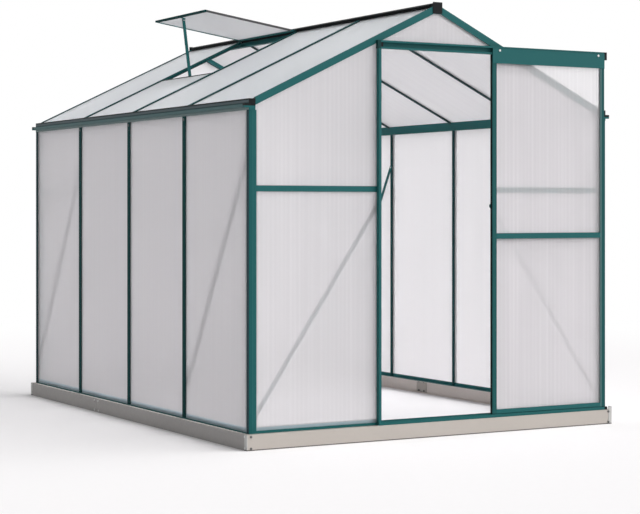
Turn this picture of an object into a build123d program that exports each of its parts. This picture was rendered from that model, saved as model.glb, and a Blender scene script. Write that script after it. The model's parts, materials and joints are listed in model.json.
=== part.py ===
from build123d import *
from math import atan2, cos, degrees, hypot, radians, sin, tan
import os

os.makedirs("parts", exist_ok=True)

# Driving dimensions in millimetres: +X right, +Y to the back, +Z up, origin on the ground at the middle

# Steel base
base_width = 1900
base_length = 2530
base_height = 66
base_gauge = 2
base_foot = 30
side_margin = 19
end_margin = 22
ledge_spare = 3
splice_line = 350
splice_length = 100
splice_gap = 1
bracket_leg = 40
plate_margin = 0.5
anchor_radius = 4
anchor_line = 900

# Bolts
bolt_radius = 3
bolt_head_radius = 5
bolt_head = 3
bolt_nut = 4
hole_clearance = 0.25
corner_bolt_inset = 18
bolt_edge = 9
splice_bolt_pitch = 50

# Frame bars
bar_depth = 30
stem_depth = 18
nose_width = 22
inner_width = 14
stem_width = 10
rafter_inner = 12
rafter_stem = 5
post_tube = 22
post_tube_side = 12
post_lip = 36
post_side_lip = 20
post_arm = 44
gable_lip = 10
web = 3
flange = 2
bar_wall = 1.6
slot_depth = 8

# Glazing and its clearances
pane = 4
seal = 3
pane_gap = 0.2
edge_gap = 0.5
butt_gap = 0.3

# Walls
eave_line = 1446
eave_beam_height = 39
eave_rise = 8
bay_count = 4
sill_lip = 12
sill_upstand = 27
side_sill_lip = 5
side_sill_upstand = 18
threshold = 20
door_line = 300
mid_rail_height = 1082
rail_face = 25
rail_depth = 16
header_face = 30

# Roof, ridge and gutters
roof_pitch = 25.7
ridge_half = 16
ridge_wing = 16
ridge_rise = 7
ridge_bevel = 4
ridge_cap_half = 24
ridge_cap_height = 50
gutter_width = 20
gutter_drop = 11
gutter_lip = 14
cap_thickness = 3
cap_skin = 1.5
cap_skirt = 14

# Wall braces
brace_width = 20
brace_thickness = 2
brace_inset = 12
brace_bolt_reach = 5
front_brace_drop = 72
front_brace_foot = 125
side_brace_drop = 180
side_brace_foot = 197

# Sliding door, drawn where it stands open
door_overlap = 29
open_overlap = 19
door_gap = 3
door_depth = 17
stile = 22
door_mid_height = 875.5
door_mid_face = 25
door_bottom_face = 18
door_top_face = 24
door_clearance = 3
top_plate = 2.5
plate_drop = 40
plate_rise = 27
edge_seal_width = 2
edge_seal_depth = 8
fin_thickness = 3

# Door track, guide, jamb and rollers
track_height = 36
track_depth = 17
track_lip = 8
track_run_on = 2
track_cap = 16
track_stop = 12
guide_depth = 20
guide_height = 14
jamb_width = 12
roller_gap = 0.3
roller_side_gap = 1.5
axle_radius = 3
axle_collar = 4.5
axle_inset = 37
running_gap = 0.05

# Roof vent, drawn where it stands open
vent_length = 508
vent_open = 34.3
vent_depth = 9
vent_side_gap = 2
vent_seat_gap = 0.5
vent_seat = 6
vent_rail = 20
vent_outer = 14
vent_side_rail = 12
vent_slot = 6
vent_pane_gap = 6
sill_overlap = 8
sill_width = 40
sill_depth = 26
sill_ledge = 12
hinge_x = 20
hinge_rise = 4
bead_radius = 4
bead_gap = 0.3
knuckle_wall = 2
knuckle_gap = 1.5
neck = 2.5
neck_room = 24

# Vent stay
stay_width = 16
stay_thickness = 3
stay_gap = 0.5
stay_notch = 10
notch_room = 2
pivot_inset = 26
pin_radius = 3
ear = 14
ear_thickness = 2.5
foot_drop = 14
peg_radius = 2.9
catch_side = 7
catch_thickness = 3

# Sizes that follow from the driving dimensions
half_width = base_width / 2 - side_margin
half_length = base_length / 2 - end_margin
side_inner = half_width - bar_depth
end_inner = half_length - bar_depth
pane_face = flange + seal
seat = pane_face + pane + pane_gap
backing = seat + flange
post_edge = bar_depth - slot_depth
post_hollow = post_edge - flange
sill_floor = base_height + flange
lip_top = base_height + sill_lip
side_lip_top = base_height + side_sill_lip
eave_bottom = eave_line - eave_beam_height
bay = (2 * half_length - bar_depth) / bay_count
bar_lines = [bay * (number - bay_count / 2) for number in range(1, bay_count)]
vent_bay = bay_count // 2
post_lines = [-door_line, door_line]
hole_radius = bolt_radius + hole_clearance
slope = tan(radians(roof_pitch))
cos_pitch = cos(radians(roof_pitch))
sin_pitch = sin(radians(roof_pitch))


def facing(x, y, along):
    """Plane of a wall: x along the wall, y inwards from its outer face, z up."""
    return Plane(origin=(x, y, 0), x_dir=along, z_dir=(0, 0, 1))


front_wall = facing(0, -half_length, (1, 0, 0))
back_wall = facing(0, half_length, (-1, 0, 0))
left_wall = facing(-half_width, 0, (0, -1, 0))
right_wall = facing(half_width, 0, (0, 1, 0))
base_front = facing(0, -base_length / 2, (1, 0, 0))
base_left = facing(-base_width / 2, 0, (0, -1, 0))


def around(middle, width):
    """Low and high end of a width centred on a middle."""
    return (middle - width / 2, middle + width / 2)


def roof_z(x, depth):
    """Height of the roof at a distance x from the middle, a depth below its outer face."""
    return eave_line + slope * (half_width - x) - depth / cos_pitch


def roof_x(z, depth):
    """Distance from the middle where the roof, a depth below its outer face, has a height."""
    return half_width - (z + depth / cos_pitch - eave_line) / slope


def slab(wall, along, depth, height, mode=Mode.ADD):
    """Box in a wall's directions: along it, inwards from its outer face, and up."""
    with BuildSketch(wall.offset(height[0])) as outline:
        with Locations((sum(along) / 2, sum(depth) / 2)):
            Rectangle(along[1] - along[0], depth[1] - depth[0])
    extrude(outline.sketch, amount=height[1] - height[0], mode=mode)


def drill(wall, spots, radius, depth, mode=Mode.SUBTRACT):
    """Round holes, or bolts, at spots (along, height) of a wall between two depths."""
    face = Plane(origin=wall.origin, x_dir=wall.x_dir, z_dir=wall.y_dir * -1)
    with BuildSketch(face.offset(-depth[0])) as rounds:
        with Locations(*spots):
            Circle(radius)
    extrude(rounds.sketch, amount=depth[0] - depth[1], mode=mode)


def profile(points, run, mode=Mode.ADD):
    """Outline in X and Z carried along a run of Y."""
    with BuildSketch(Plane.XZ.offset(-run[0])) as outline:
        with BuildLine():
            Polyline(*points, close=True)
        make_face()
    extrude(outline.sketch, amount=run[0] - run[1], mode=mode)


def roof_strip(across, depth, run, mode=Mode.ADD):
    """Strip on the left slope between two distances from the middle, two depths and two places along Y."""
    near, far = across
    outline = [
        (-near, roof_z(near, depth[0])),
        (-far, roof_z(far, depth[0])),
        (-far, roof_z(far, depth[1])),
        (-near, roof_z(near, depth[1])),
    ]
    profile(outline, run, mode)


def finish(builder, name):
    """Label a finished piece and write its file."""
    builder.part.label = name
    export_step(builder.part, f"parts/{name}.step")


# Steel base: folded rails with a ledge above and a foot below, the side rails in two lengths
side_ledge = side_margin + bar_depth + ledge_spare
end_ledge = end_margin + bar_depth + ledge_spare
web_end = base_width / 2 - base_gauge
side_web_end = base_length / 2 - base_gauge
ledge_height = (base_height - base_gauge, base_height)
foot_height = (0, base_gauge)
plate_depth = (base_gauge, 2 * base_gauge)
plate_height = (base_gauge + plate_margin, base_height - base_gauge - plate_margin)
bolt_heights = [bolt_edge, base_height - bolt_edge]
corner_bolt = base_width / 2 - corner_bolt_inset
side_corner_bolt = base_length / 2 - corner_bolt_inset
front_bolts = [(-corner_bolt, height) for height in bolt_heights]
side_bolts = [(side_corner_bolt, height) for height in bolt_heights]
splice_lines = around(-splice_line, splice_bolt_pitch)
splice_bolts = [(line, height) for line in splice_lines for height in bolt_heights]

with BuildPart() as base_front_rail:
    slab(base_front, (-base_width / 2, base_width / 2), (0, base_gauge), (0, base_height))
    slab(base_front, (-web_end, web_end), (base_gauge, end_ledge), ledge_height)
    slab(base_front, (-web_end, web_end), (base_gauge, base_foot), foot_height)
    drill(base_front, front_bolts, hole_radius, (0, base_gauge))
    drill(base_front, [(-line, height) for line, height in front_bolts], hole_radius, (0, base_gauge))
finish(base_front_rail, "base_front_rail")

with BuildPart() as base_back_rail:
    mirror(base_front_rail.part, about=Plane.XZ)
finish(base_back_rail, "base_back_rail")

with BuildPart() as base_side_rails:
    ledge_end = base_length / 2 - end_ledge
    foot_end = base_length / 2 - base_foot
    slab(base_left, (-side_web_end, side_web_end), (0, base_gauge), (0, base_height))
    slab(base_left, (-ledge_end, ledge_end), (base_gauge, side_ledge), ledge_height)
    slab(base_left, (-foot_end, foot_end), (base_gauge, base_foot), foot_height)
    slab(base_left, around(-splice_line, splice_gap), (0, side_ledge), (0, base_height), Mode.SUBTRACT)
    drill(base_left, side_bolts + splice_bolts, hole_radius, (0, base_gauge))
    drill(base_left, [(-line, height) for line, height in side_bolts], hole_radius, (0, base_gauge))
    with BuildSketch() as anchor_holes:
        with Locations((-base_width / 2 + base_foot / 2, 0)):
            with GridLocations(0, 2 * anchor_line, 1, 2):
                Circle(anchor_radius)
    extrude(amount=base_gauge, mode=Mode.SUBTRACT)
    mirror(about=Plane.YZ)
finish(base_side_rails, "base_side_rails")

with BuildPart() as base_corner_brackets:
    slab(base_front, (-web_end, -web_end + bracket_leg), plate_depth, plate_height)
    slab(base_left, (side_web_end - bracket_leg, side_web_end), plate_depth, plate_height)
    drill(base_front, front_bolts, hole_radius, plate_depth)
    drill(base_left, side_bolts, hole_radius, plate_depth)
    mirror(about=Plane.YZ)
    mirror(about=Plane.XZ)
finish(base_corner_brackets, "base_corner_brackets")

with BuildPart() as base_splice_plates:
    slab(base_left, around(-splice_line, splice_length), plate_depth, plate_height)
    drill(base_left, splice_bolts, hole_radius, plate_depth)
    mirror(about=Plane.YZ)
finish(base_splice_plates, "base_splice_plates")


def base_bolt(wall, spots):
    """Bolts through a base rail and the plate behind it: head, shank and nut."""
    drill(wall, spots, bolt_head_radius, (-bolt_head, 0), Mode.ADD)
    drill(wall, spots, bolt_radius, (0, plate_depth[1]), Mode.ADD)
    drill(wall, spots, bolt_head_radius, (plate_depth[1], plate_depth[1] + bolt_nut), Mode.ADD)


with BuildPart() as base_bolts:
    base_bolt(base_front, front_bolts)
    base_bolt(base_left, side_bolts)
    mirror(about=Plane.XZ)
    base_bolt(base_left, splice_bolts)
    mirror(about=Plane.YZ)
finish(base_bolts, "base_bolts")


# Sills stand on the base ledge between the corner posts
def sill(wall, half, post, rises, lines):
    """Channel that holds the lower edge of the panes, its upstand notched where the bars stand."""
    lip, upstand = rises
    end = half - post
    inner_end = half - post_arm - butt_gap
    slab(wall, (-end, end), (0, bar_depth), (base_height, sill_floor))
    slab(wall, (-end, end), (0, flange), (sill_floor, base_height + lip))
    slab(wall, (-inner_end, inner_end), (seat, backing), (sill_floor, base_height + upstand))
    for line in lines:
        notch = around(line, inner_width + 2 * butt_gap)
        slab(wall, notch, (seat, backing), (sill_floor, base_height + upstand), Mode.SUBTRACT)


end_sill_rises = (sill_lip, sill_upstand)
side_sill_rises = (side_sill_lip, side_sill_upstand)


with BuildPart() as front_sill:
    sill(front_wall, half_width, post_lip, end_sill_rises, post_lines)
    upstand_rise = (sill_floor, base_height + sill_upstand)
    slab(front_wall, (-door_line, door_line), (seat, backing), upstand_rise, Mode.SUBTRACT)
    threshold_end = door_line - nose_width / 2 - butt_gap
    slab(front_wall, (-threshold_end, threshold_end), (0, flange), (lip_top, base_height + threshold))
finish(front_sill, "front_sill")

with BuildPart() as back_sill:
    sill(back_wall, half_width, post_lip, end_sill_rises, post_lines)
finish(back_sill, "back_sill")

with BuildPart() as side_sills:
    sill(left_wall, half_length, post_side_lip, side_sill_rises, bar_lines)
    mirror(about=Plane.YZ)
finish(side_sills, "side_sills")

# Ends of the braces, each wall's in its own directions: (along, height) of the upper and the lower bolt
front_brace_top = mid_rail_height - front_brace_drop
side_brace_top = eave_bottom - side_brace_drop
corner_spot = half_width - post_arm + brace_inset
side_corner_spot = half_length - post_arm + brace_inset
end_braces = [
    ((side * door_line, front_brace_top), (side * corner_spot, front_brace_foot)) for side in (-1, 1)
]
left_braces = [
    ((side_corner_spot, side_brace_top), (-bar_lines[0], side_brace_foot)),
    ((-bar_lines[-1], side_brace_top), (-side_corner_spot, side_brace_foot)),
]
right_braces = [((-top[0], top[1]), (-foot[0], foot[1])) for top, foot in left_braces]
braced_walls = [
    (front_wall, end_braces),
    (back_wall, end_braces),
    (left_wall, left_braces),
    (right_wall, right_braces),
]
brace_bite = (stem_depth - brace_bolt_reach, stem_depth)


# Corner posts: tubes with a lip in front of each wall's pane and a hollow arm behind it
def corner_post(side_height):
    """Left post of the front wall, drilled for an end brace and for a side brace at a height."""
    rise = (base_height, eave_bottom)
    arm_rise = (sill_floor, eave_bottom)
    outer = -half_width
    tube = outer + post_tube
    arm_end = outer + post_arm
    arm_corner = outer + stem_depth
    slab(front_wall, (outer, tube), (0, post_tube_side), rise)
    slab(front_wall, (outer, outer + post_lip), (0, flange), rise)
    slab(front_wall, (outer, outer + flange), (0, post_side_lip), rise)
    slab(front_wall, (arm_corner, arm_end), (seat, stem_depth), arm_rise)
    slab(front_wall, (outer + seat, arm_corner), (post_tube_side, post_arm), arm_rise)
    tube_hollow = (outer + flange, tube - flange)
    front_hollow = (tube, arm_end - bar_wall)
    side_hollow = (outer + backing, arm_corner - bar_wall)
    slab(front_wall, tube_hollow, (flange, post_tube_side - flange), rise, Mode.SUBTRACT)
    slab(front_wall, front_hollow, (backing, stem_depth - bar_wall), arm_rise, Mode.SUBTRACT)
    slab(front_wall, side_hollow, (post_tube_side, post_arm - bar_wall), arm_rise, Mode.SUBTRACT)
    drill(front_wall, [(-corner_spot, front_brace_foot)], hole_radius, brace_bite)
    drill(left_wall, [(side_corner_spot, side_height)], hole_radius, brace_bite)


with BuildPart() as front_corner_posts:
    corner_post(side_brace_top)
    mirror(about=Plane.YZ)
finish(front_corner_posts, "front_corner_posts")

with BuildPart() as back_corner_posts:
    corner_post(side_brace_foot)
    mirror(about=Plane.YZ)
    mirror(about=Plane.XZ, mode=Mode.REPLACE)
finish(back_corner_posts, "back_corner_posts")

stem_hollow = stem_width - 2 * bar_wall


# Studs and posts: glazing bars that stand on the sills
def bar(wall, line, lip, top):
    """Glazing bar: nose and web above a sill lip, inner flange and hollow stem from the sill floor."""
    slab(wall, around(line, nose_width), (0, flange), (lip + butt_gap, top))
    slab(wall, around(line, web), (flange, seat), (lip + butt_gap, top))
    slab(wall, around(line, inner_width), (seat, backing), (sill_floor, top))
    slab(wall, around(line, stem_width), (backing, stem_depth), (sill_floor, top))
    slab(wall, around(line, stem_hollow), (backing, stem_depth - bar_wall), (sill_floor, top), Mode.SUBTRACT)


with BuildPart() as left_studs:
    for line in bar_lines:
        bar(left_wall, line, side_lip_top, eave_bottom)
    drill(left_wall, [left_braces[0][1], left_braces[1][0]], hole_radius, brace_bite)
finish(left_studs, "left_studs")

with BuildPart() as right_studs:
    mirror(left_studs.part, about=Plane.YZ)
finish(right_studs, "right_studs")

rafter_underside = Plane(
    origin=(-half_width, 0, roof_z(half_width, bar_depth)),
    x_dir=(0, 1, 0),
    z_dir=(-sin_pitch, 0, cos_pitch),
)

with BuildPart() as door_posts:
    bar(front_wall, -door_line, lip_top, roof_z(door_line - nose_width, 0))
    split(bisect_by=rafter_underside, keep=Keep.BOTTOM)
    drill(front_wall, [end_braces[0][0]], hole_radius, brace_bite)
    mirror(about=Plane.YZ)
finish(door_posts, "door_posts")

with BuildPart() as back_posts:
    mirror(door_posts.part, about=Plane.XZ)
finish(back_posts, "back_posts")


# Cross rails end against the door posts, each layer of the section at its own line
def rail(wall, start, inner_start, line, height, face):
    """Glazing bar laid across to the left side of the upright on a line, from a start of each side's own."""
    slab(wall, (start, line - nose_width / 2), (0, flange), around(height, face))
    slab(wall, (start, line - web / 2), (flange, seat), around(height, web))
    slab(wall, (inner_start, line - inner_width / 2), (seat, backing), around(height, face))
    slab(wall, (inner_start, line - stem_width / 2), (backing, rail_depth), around(height, stem_width))


header_top = roof_z(door_line - min(nose_width, inner_width) / 2, bar_depth) - butt_gap
header_height = header_top - header_face / 2
lip_end = half_width - post_lip
arm_end = half_width - post_arm

with BuildPart() as front_mid_rails:
    rail(front_wall, -lip_end, -arm_end, -door_line, mid_rail_height, rail_face)
    mirror(about=Plane.YZ)
finish(front_mid_rails, "front_mid_rails")

with BuildPart() as back_mid_rails:
    rail(back_wall, -lip_end, -arm_end, -door_line, mid_rail_height, rail_face)
    rail(back_wall, 0, 0, door_line, mid_rail_height, rail_face)
    mirror(about=Plane.YZ)
finish(back_mid_rails, "back_mid_rails")

with BuildPart() as door_header:
    rail(front_wall, 0, 0, door_line, header_height, header_face)
    mirror(about=Plane.YZ)
finish(door_header, "door_header")

# Eave beams cap the side walls, seat the roof panes and carry the gutters
eave_lip = half_width - flange
eave_lip_top = eave_line + eave_rise
eave_slot_top = eave_bottom + slot_depth
hollow_outer = half_width - backing
hollow_inner = side_inner + flange
gutter_floor = eave_bottom + gutter_drop
gutter_top = gutter_floor + gutter_lip
full_run = (-half_length, half_length)
inner_run = (-end_inner, end_inner)

with BuildPart() as left_eave_gutter:
    eave_section = [
        (-half_width, eave_bottom),
        (-half_width, eave_lip_top),
        (-eave_lip, eave_lip_top),
        (-eave_lip, roof_z(eave_lip, seat)),
        (-side_inner, roof_z(side_inner, seat)),
        (-side_inner, eave_bottom),
        (-half_width + seat, eave_bottom),
        (-half_width + seat, eave_slot_top),
        (-eave_lip, eave_slot_top),
        (-eave_lip, eave_bottom),
    ]
    hollow_section = [
        (-hollow_outer, eave_bottom + flange),
        (-hollow_inner, eave_bottom + flange),
        (-hollow_inner, roof_z(hollow_inner, backing)),
        (-hollow_outer, roof_z(hollow_outer, backing)),
    ]
    profile(eave_section, full_run)
    profile(hollow_section, full_run, Mode.SUBTRACT)
    slab(left_wall, full_run, (-gutter_width, 0), (gutter_floor, gutter_floor + flange))
    slab(left_wall, full_run, (-gutter_width, -gutter_width + flange), (gutter_floor + flange, gutter_top))
finish(left_eave_gutter, "left_eave_gutter")

with BuildPart() as right_eave_gutter:
    mirror(left_eave_gutter.part, about=Plane.YZ)
finish(right_eave_gutter, "right_eave_gutter")

cap_depth = (-cap_thickness, 0)

with BuildPart() as gutter_end_caps:
    gutter_outer = -half_width - gutter_width
    skirt_depth = (-cap_thickness, cap_skirt)
    skirt_height = (gutter_floor - cap_skin, gutter_top + cap_skin)
    slab(front_wall, (gutter_outer - cap_skin, -half_width), skirt_depth, skirt_height)
    slab(front_wall, (gutter_outer, -half_width), (0, cap_skirt), (gutter_floor, gutter_top), Mode.SUBTRACT)
    slab(front_wall, (-half_width, -side_inner), cap_depth, (eave_bottom, eave_lip_top))
    mirror(about=Plane.YZ)
    mirror(about=Plane.XZ)
finish(gutter_end_caps, "gutter_end_caps")

# Gable rafters: hollow bars with a narrow lip over the roof panes and a slot for the gable panes
with BuildPart() as gable_rafters:
    gable_across = (ridge_half, side_inner)
    outer = -half_length
    roof_strip(gable_across, (0, bar_depth), (outer, outer + bar_depth))
    roof_strip(gable_across, (0, seat), (outer + gable_lip, outer + bar_depth), Mode.SUBTRACT)
    roof_strip(gable_across, (flange, seat), (outer + flange, outer + gable_lip), Mode.SUBTRACT)
    roof_strip(gable_across, (post_edge, bar_depth), (outer + flange, outer + seat), Mode.SUBTRACT)
    gable_hollow = (outer + flange, outer + bar_depth - flange)
    roof_strip(gable_across, (backing, post_hollow), gable_hollow, Mode.SUBTRACT)
    mirror(about=Plane.YZ)
    mirror(about=Plane.XZ)
finish(gable_rafters, "gable_rafters")

# Ridge beam: bevelled box with a seat wing and a hinge groove along each side
ridge_bottom = roof_z(ridge_half, bar_depth)
ridge_top = roof_z(0, 0) + ridge_rise
wing_end = ridge_half + ridge_wing
hinge_z = roof_z(hinge_x, -hinge_rise)
groove_radius = bead_radius + bead_gap
knuckle_radius = groove_radius + knuckle_wall
nose_start = hinge_x + knuckle_radius + edge_gap
open_tilt = vent_open - roof_pitch
vent_low = neck / 2 - vent_depth


def from_hinge(angle, distance):
    """Point at a distance from the hinge line, at an angle above the outward direction."""
    return (-hinge_x - distance * cos(radians(angle)), hinge_z + distance * sin(radians(angle)))


with BuildPart() as ridge_beam:
    shoulder = ridge_half - ridge_bevel
    ridge_section = [
        (-ridge_half, ridge_bottom),
        (-ridge_half, ridge_top - ridge_bevel),
        (-shoulder, ridge_top),
        (shoulder, ridge_top),
        (ridge_half, ridge_top - ridge_bevel),
        (ridge_half, ridge_bottom),
    ]
    profile(ridge_section, full_run)
    roof_strip((ridge_half, wing_end), (seat, backing), inner_run)
    with BuildSketch(Plane.XZ.offset(end_inner)) as knuckle:
        with Locations((-hinge_x, hinge_z)):
            Circle(knuckle_radius)
    extrude(amount=-2 * end_inner)
    mirror(about=Plane.YZ)
    with BuildSketch(Plane.XZ.offset(end_inner)) as grooves:
        with Locations((-hinge_x, hinge_z)):
            Circle(groove_radius)
        with BuildLine():
            mouth = 2 * knuckle_radius
            low_edge = from_hinge(-roof_pitch - neck_room, mouth)
            high_edge = from_hinge(open_tilt + neck_room, mouth)
            Polyline((-hinge_x, hinge_z), low_edge, high_edge, close=True)
        make_face()
        mirror(about=Plane.YZ)
    extrude(amount=-2 * end_inner, mode=Mode.SUBTRACT)
    hollow_half = ridge_half - 2 * flange
    hollow_height = (ridge_bottom + flange, ridge_top - ridge_bevel - flange)
    slab(front_wall, (-hollow_half, hollow_half), (0, 2 * half_length), hollow_height, Mode.SUBTRACT)
finish(ridge_beam, "ridge_beam")

with BuildPart() as ridge_end_caps:
    cap_top = ridge_top + cap_thickness
    slab(front_wall, (-ridge_cap_half, ridge_cap_half), cap_depth, (cap_top - ridge_cap_height, cap_top))
    mirror(about=Plane.XZ)
finish(ridge_end_caps, "ridge_end_caps")


# Rafters: glazing bars from the ridge wing to the eave beam, with ledges beside the vent
near_bar = bar_lines[vent_bay - 1]
far_bar = bar_lines[vent_bay]
ledge_depth = (vent_seat_gap - vent_low - hinge_rise, seat)
ledge_reach = nose_width / 2 + vent_side_gap + vent_seat
ledge_across = (wing_end, hinge_x + (vent_length - sill_overlap) * cos_pitch)


def rafter(line):
    """Glazing bar along the left slope, its nose and web running on over the wing and the eave beam."""
    over_run = (nose_start, eave_lip)
    under_run = (wing_end, side_inner)
    roof_strip(over_run, (0, flange), around(line, nose_width))
    roof_strip(over_run, (flange, seat), around(line, web))
    roof_strip(under_run, (seat, backing), around(line, rafter_inner))
    roof_strip(under_run, (backing, stem_depth), around(line, rafter_stem))


with BuildPart() as left_rafters:
    for line in bar_lines:
        rafter(line)
    roof_strip(ledge_across, ledge_depth, (near_bar + web / 2, near_bar + ledge_reach))
    roof_strip(ledge_across, ledge_depth, (far_bar - ledge_reach, far_bar - web / 2))
finish(left_rafters, "left_rafters")

with BuildPart() as right_rafters:
    for line in bar_lines:
        rafter(line)
    mirror(about=Plane.YZ, mode=Mode.REPLACE)
finish(right_rafters, "right_rafters")


# Braces: flat strips bolted to the inner faces of posts and bars
def brace(wall, top, foot):
    """Strip between two bolts on the inner face of a wall."""
    face = Plane(origin=wall.origin + wall.y_dir * stem_depth, x_dir=wall.x_dir, z_dir=wall.y_dir * -1)
    length = hypot(top[0] - foot[0], top[1] - foot[1])
    lean = degrees(atan2(top[1] - foot[1], top[0] - foot[0]))
    with BuildSketch(face) as outline:
        with Locations(((top[0] + foot[0]) / 2, (top[1] + foot[1]) / 2)):
            SlotCenterToCenter(length, brace_width, rotation=lean)
        with Locations(top, foot):
            Circle(hole_radius, mode=Mode.SUBTRACT)
    extrude(outline.sketch, amount=-brace_thickness)


with BuildPart() as wall_braces:
    for wall, braces in braced_walls:
        for top, foot in braces:
            brace(wall, top, foot)
finish(wall_braces, "wall_braces")

with BuildPart() as brace_bolts:
    brace_face = stem_depth + brace_thickness
    for wall, braces in braced_walls:
        spots = [spot for ends in braces for spot in ends]
        drill(wall, spots, bolt_radius, (brace_bite[0], brace_face), Mode.ADD)
        drill(wall, spots, bolt_head_radius, (brace_face, brace_face + bolt_head), Mode.ADD)
finish(brace_bolts, "brace_bolts")

# Panes of the side walls and the roof, one to each bay
pane_depth = (pane_face, pane_face + pane)
pane_side = web / 2 + edge_gap
slot_line = post_edge + edge_gap
roof_pane_across = (ridge_half + edge_gap, eave_lip - edge_gap)
short_pane_start = hinge_x + (vent_length + vent_pane_gap) * cos_pitch


def bay_runs(edge):
    """Run of each bay's pane along Y, the end ones starting an edge in from the end walls."""
    starts = [-half_length + edge + edge_gap] + [line + pane_side for line in bar_lines]
    ends = [line - pane_side for line in bar_lines] + [half_length - edge - edge_gap]
    return zip(starts, ends)


with BuildPart() as right_wall_panes:
    for run in bay_runs(post_tube_side):
        slab(right_wall, run, pane_depth, (sill_floor, eave_slot_top - edge_gap))
finish(right_wall_panes, "right_wall_panes")

with BuildPart() as left_wall_panes:
    mirror(right_wall_panes.part, about=Plane.YZ)
finish(left_wall_panes, "left_wall_panes")

with BuildPart() as left_roof_panes:
    for number, run in enumerate(bay_runs(flange)):
        start = short_pane_start if number == vent_bay else roof_pane_across[0]
        roof_strip((start, roof_pane_across[1]), pane_depth, run)
finish(left_roof_panes, "left_roof_panes")

with BuildPart() as right_roof_panes:
    for run in bay_runs(flange):
        roof_strip(roof_pane_across, pane_depth, run)
    mirror(about=Plane.YZ, mode=Mode.REPLACE)
finish(right_roof_panes, "right_roof_panes")

# Panes of the end walls, cut to the slope above
end_pane_depth = (-half_length + pane_face, -half_length + pane_face + pane)
post_far = door_line + pane_side
post_near = door_line - pane_side
outer_edge = half_width - slot_line
notch_edge = side_inner - edge_gap
low_top = mid_rail_height - pane_side
high_bottom = mid_rail_height + pane_side
crown = ridge_bottom - edge_gap
crown_half = roof_x(crown, slot_line)


def side_panes():
    """Lower and upper pane beside the left post of the front wall."""
    lower = [
        (-outer_edge, sill_floor),
        (-post_far, sill_floor),
        (-post_far, low_top),
        (-outer_edge, low_top),
    ]
    upper = [
        (-outer_edge, high_bottom),
        (-post_far, high_bottom),
        (-post_far, roof_z(post_far, slot_line)),
        (-notch_edge, roof_z(notch_edge, slot_line)),
        (-notch_edge, eave_bottom - edge_gap),
        (-outer_edge, eave_bottom - edge_gap),
    ]
    profile(lower, end_pane_depth)
    profile(upper, end_pane_depth)


def gable_pane(bottom):
    """Left half of the pane under the ridge."""
    half = [
        (0, bottom),
        (-post_near, bottom),
        (-post_near, roof_z(post_near, slot_line)),
        (-crown_half, crown),
        (0, crown),
    ]
    profile(half, end_pane_depth)


with BuildPart() as front_panes:
    side_panes()
    gable_pane(header_height + pane_side)
    mirror(about=Plane.YZ)
finish(front_panes, "front_panes")

with BuildPart() as back_panes:
    side_panes()
    gable_pane(high_bottom)
    slab(front_wall, (-post_near, 0), pane_depth, (sill_floor, low_top))
    mirror(about=Plane.YZ)
    mirror(about=Plane.XZ, mode=Mode.REPLACE)
finish(back_panes, "back_panes")

# Seals: rubber strips between the noses and the panes
seal_depth = (flange, pane_face)
seal_reach = nose_width / 2
vent_seals = (2 * vent_bay, 2 * vent_bay + 1)


def seal_runs(edge, lip):
    """Runs of the seals along Y: under the lips at both ends and beside every bar."""
    runs = [(-half_length + edge, -half_length + lip)]
    for line in bar_lines:
        runs.append((line - seal_reach, line - web / 2))
        runs.append((line + web / 2, line + seal_reach))
    runs.append((half_length - lip, half_length - edge))
    return runs


with BuildPart() as wall_seals:
    for run in seal_runs(post_tube_side, post_side_lip):
        slab(right_wall, run, seal_depth, (side_lip_top + butt_gap, eave_bottom))
    mirror(about=Plane.YZ)
finish(wall_seals, "wall_seals")

with BuildPart() as roof_seals:
    for run in seal_runs(flange, gable_lip):
        roof_strip((nose_start, roof_pane_across[1]), seal_depth, run)
    mirror(about=Plane.YZ, mode=Mode.REPLACE)
    for number, run in enumerate(seal_runs(flange, gable_lip)):
        start = short_pane_start if number in vent_seals else nose_start
        roof_strip((start, roof_pane_across[1]), seal_depth, run)
finish(roof_seals, "roof_seals")

# Door track and guide with their end caps and stops, and the jamb that the door closes against
door_width = 2 * door_line + door_overlap
door_left = door_line - open_overlap
door_right = door_left + door_width
track_bottom = header_height - track_height / 2
track_top = header_height + track_height / 2
track_run = (-door_line, door_right + track_run_on)
guide_run = (-door_line - jamb_width, door_right + track_run_on)
guide_top = base_height + guide_height
track_inside = (track_bottom + flange, track_top - flange)
track_mouth = (-track_depth, -track_depth + flange)

with BuildPart() as door_track:
    slab(front_wall, track_run, (-track_depth, 0), (track_bottom, track_top))
    slab(front_wall, track_run, (-track_depth + flange, -flange), track_inside, Mode.SUBTRACT)
    slab(front_wall, track_run, track_mouth, (track_bottom + track_lip, track_top - track_lip), Mode.SUBTRACT)
finish(door_track, "door_track")

with BuildPart() as track_stops:
    for run in [(track_run[0], track_run[0] + track_stop), (track_run[1] - track_stop, track_run[1])]:
        slab(front_wall, run, (-track_depth + flange, -flange), track_inside)
finish(track_stops, "track_stops")

with BuildPart() as door_guide:
    slab(front_wall, guide_run, (-guide_depth, 0), (base_height, guide_top))
    slab(front_wall, guide_run, (-guide_depth + flange, -flange), (sill_floor, guide_top), Mode.SUBTRACT)
finish(door_guide, "door_guide")

with BuildPart() as door_rail_end_caps:
    for run, depth, height in [
        ((track_run[0] - track_cap, track_run[0]), track_depth, (track_bottom, track_top)),
        ((track_run[1], track_run[1] + track_cap), track_depth, (track_bottom, track_top)),
        ((guide_run[1], guide_run[1] + track_cap), guide_depth, (base_height, guide_top)),
    ]:
        slab(front_wall, run, (-depth, 0), height)
finish(door_rail_end_caps, "door_rail_end_caps")

with BuildPart() as door_jamb:
    jamb_rise = (guide_top, track_bottom)
    jamb_hollow = (guide_run[0] + bar_wall, track_run[0] - bar_wall)
    slab(front_wall, (guide_run[0], track_run[0]), (-guide_depth, 0), jamb_rise)
    slab(front_wall, jamb_hollow, (-guide_depth + bar_wall, -bar_wall), jamb_rise, Mode.SUBTRACT)
finish(door_jamb, "door_jamb")

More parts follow.
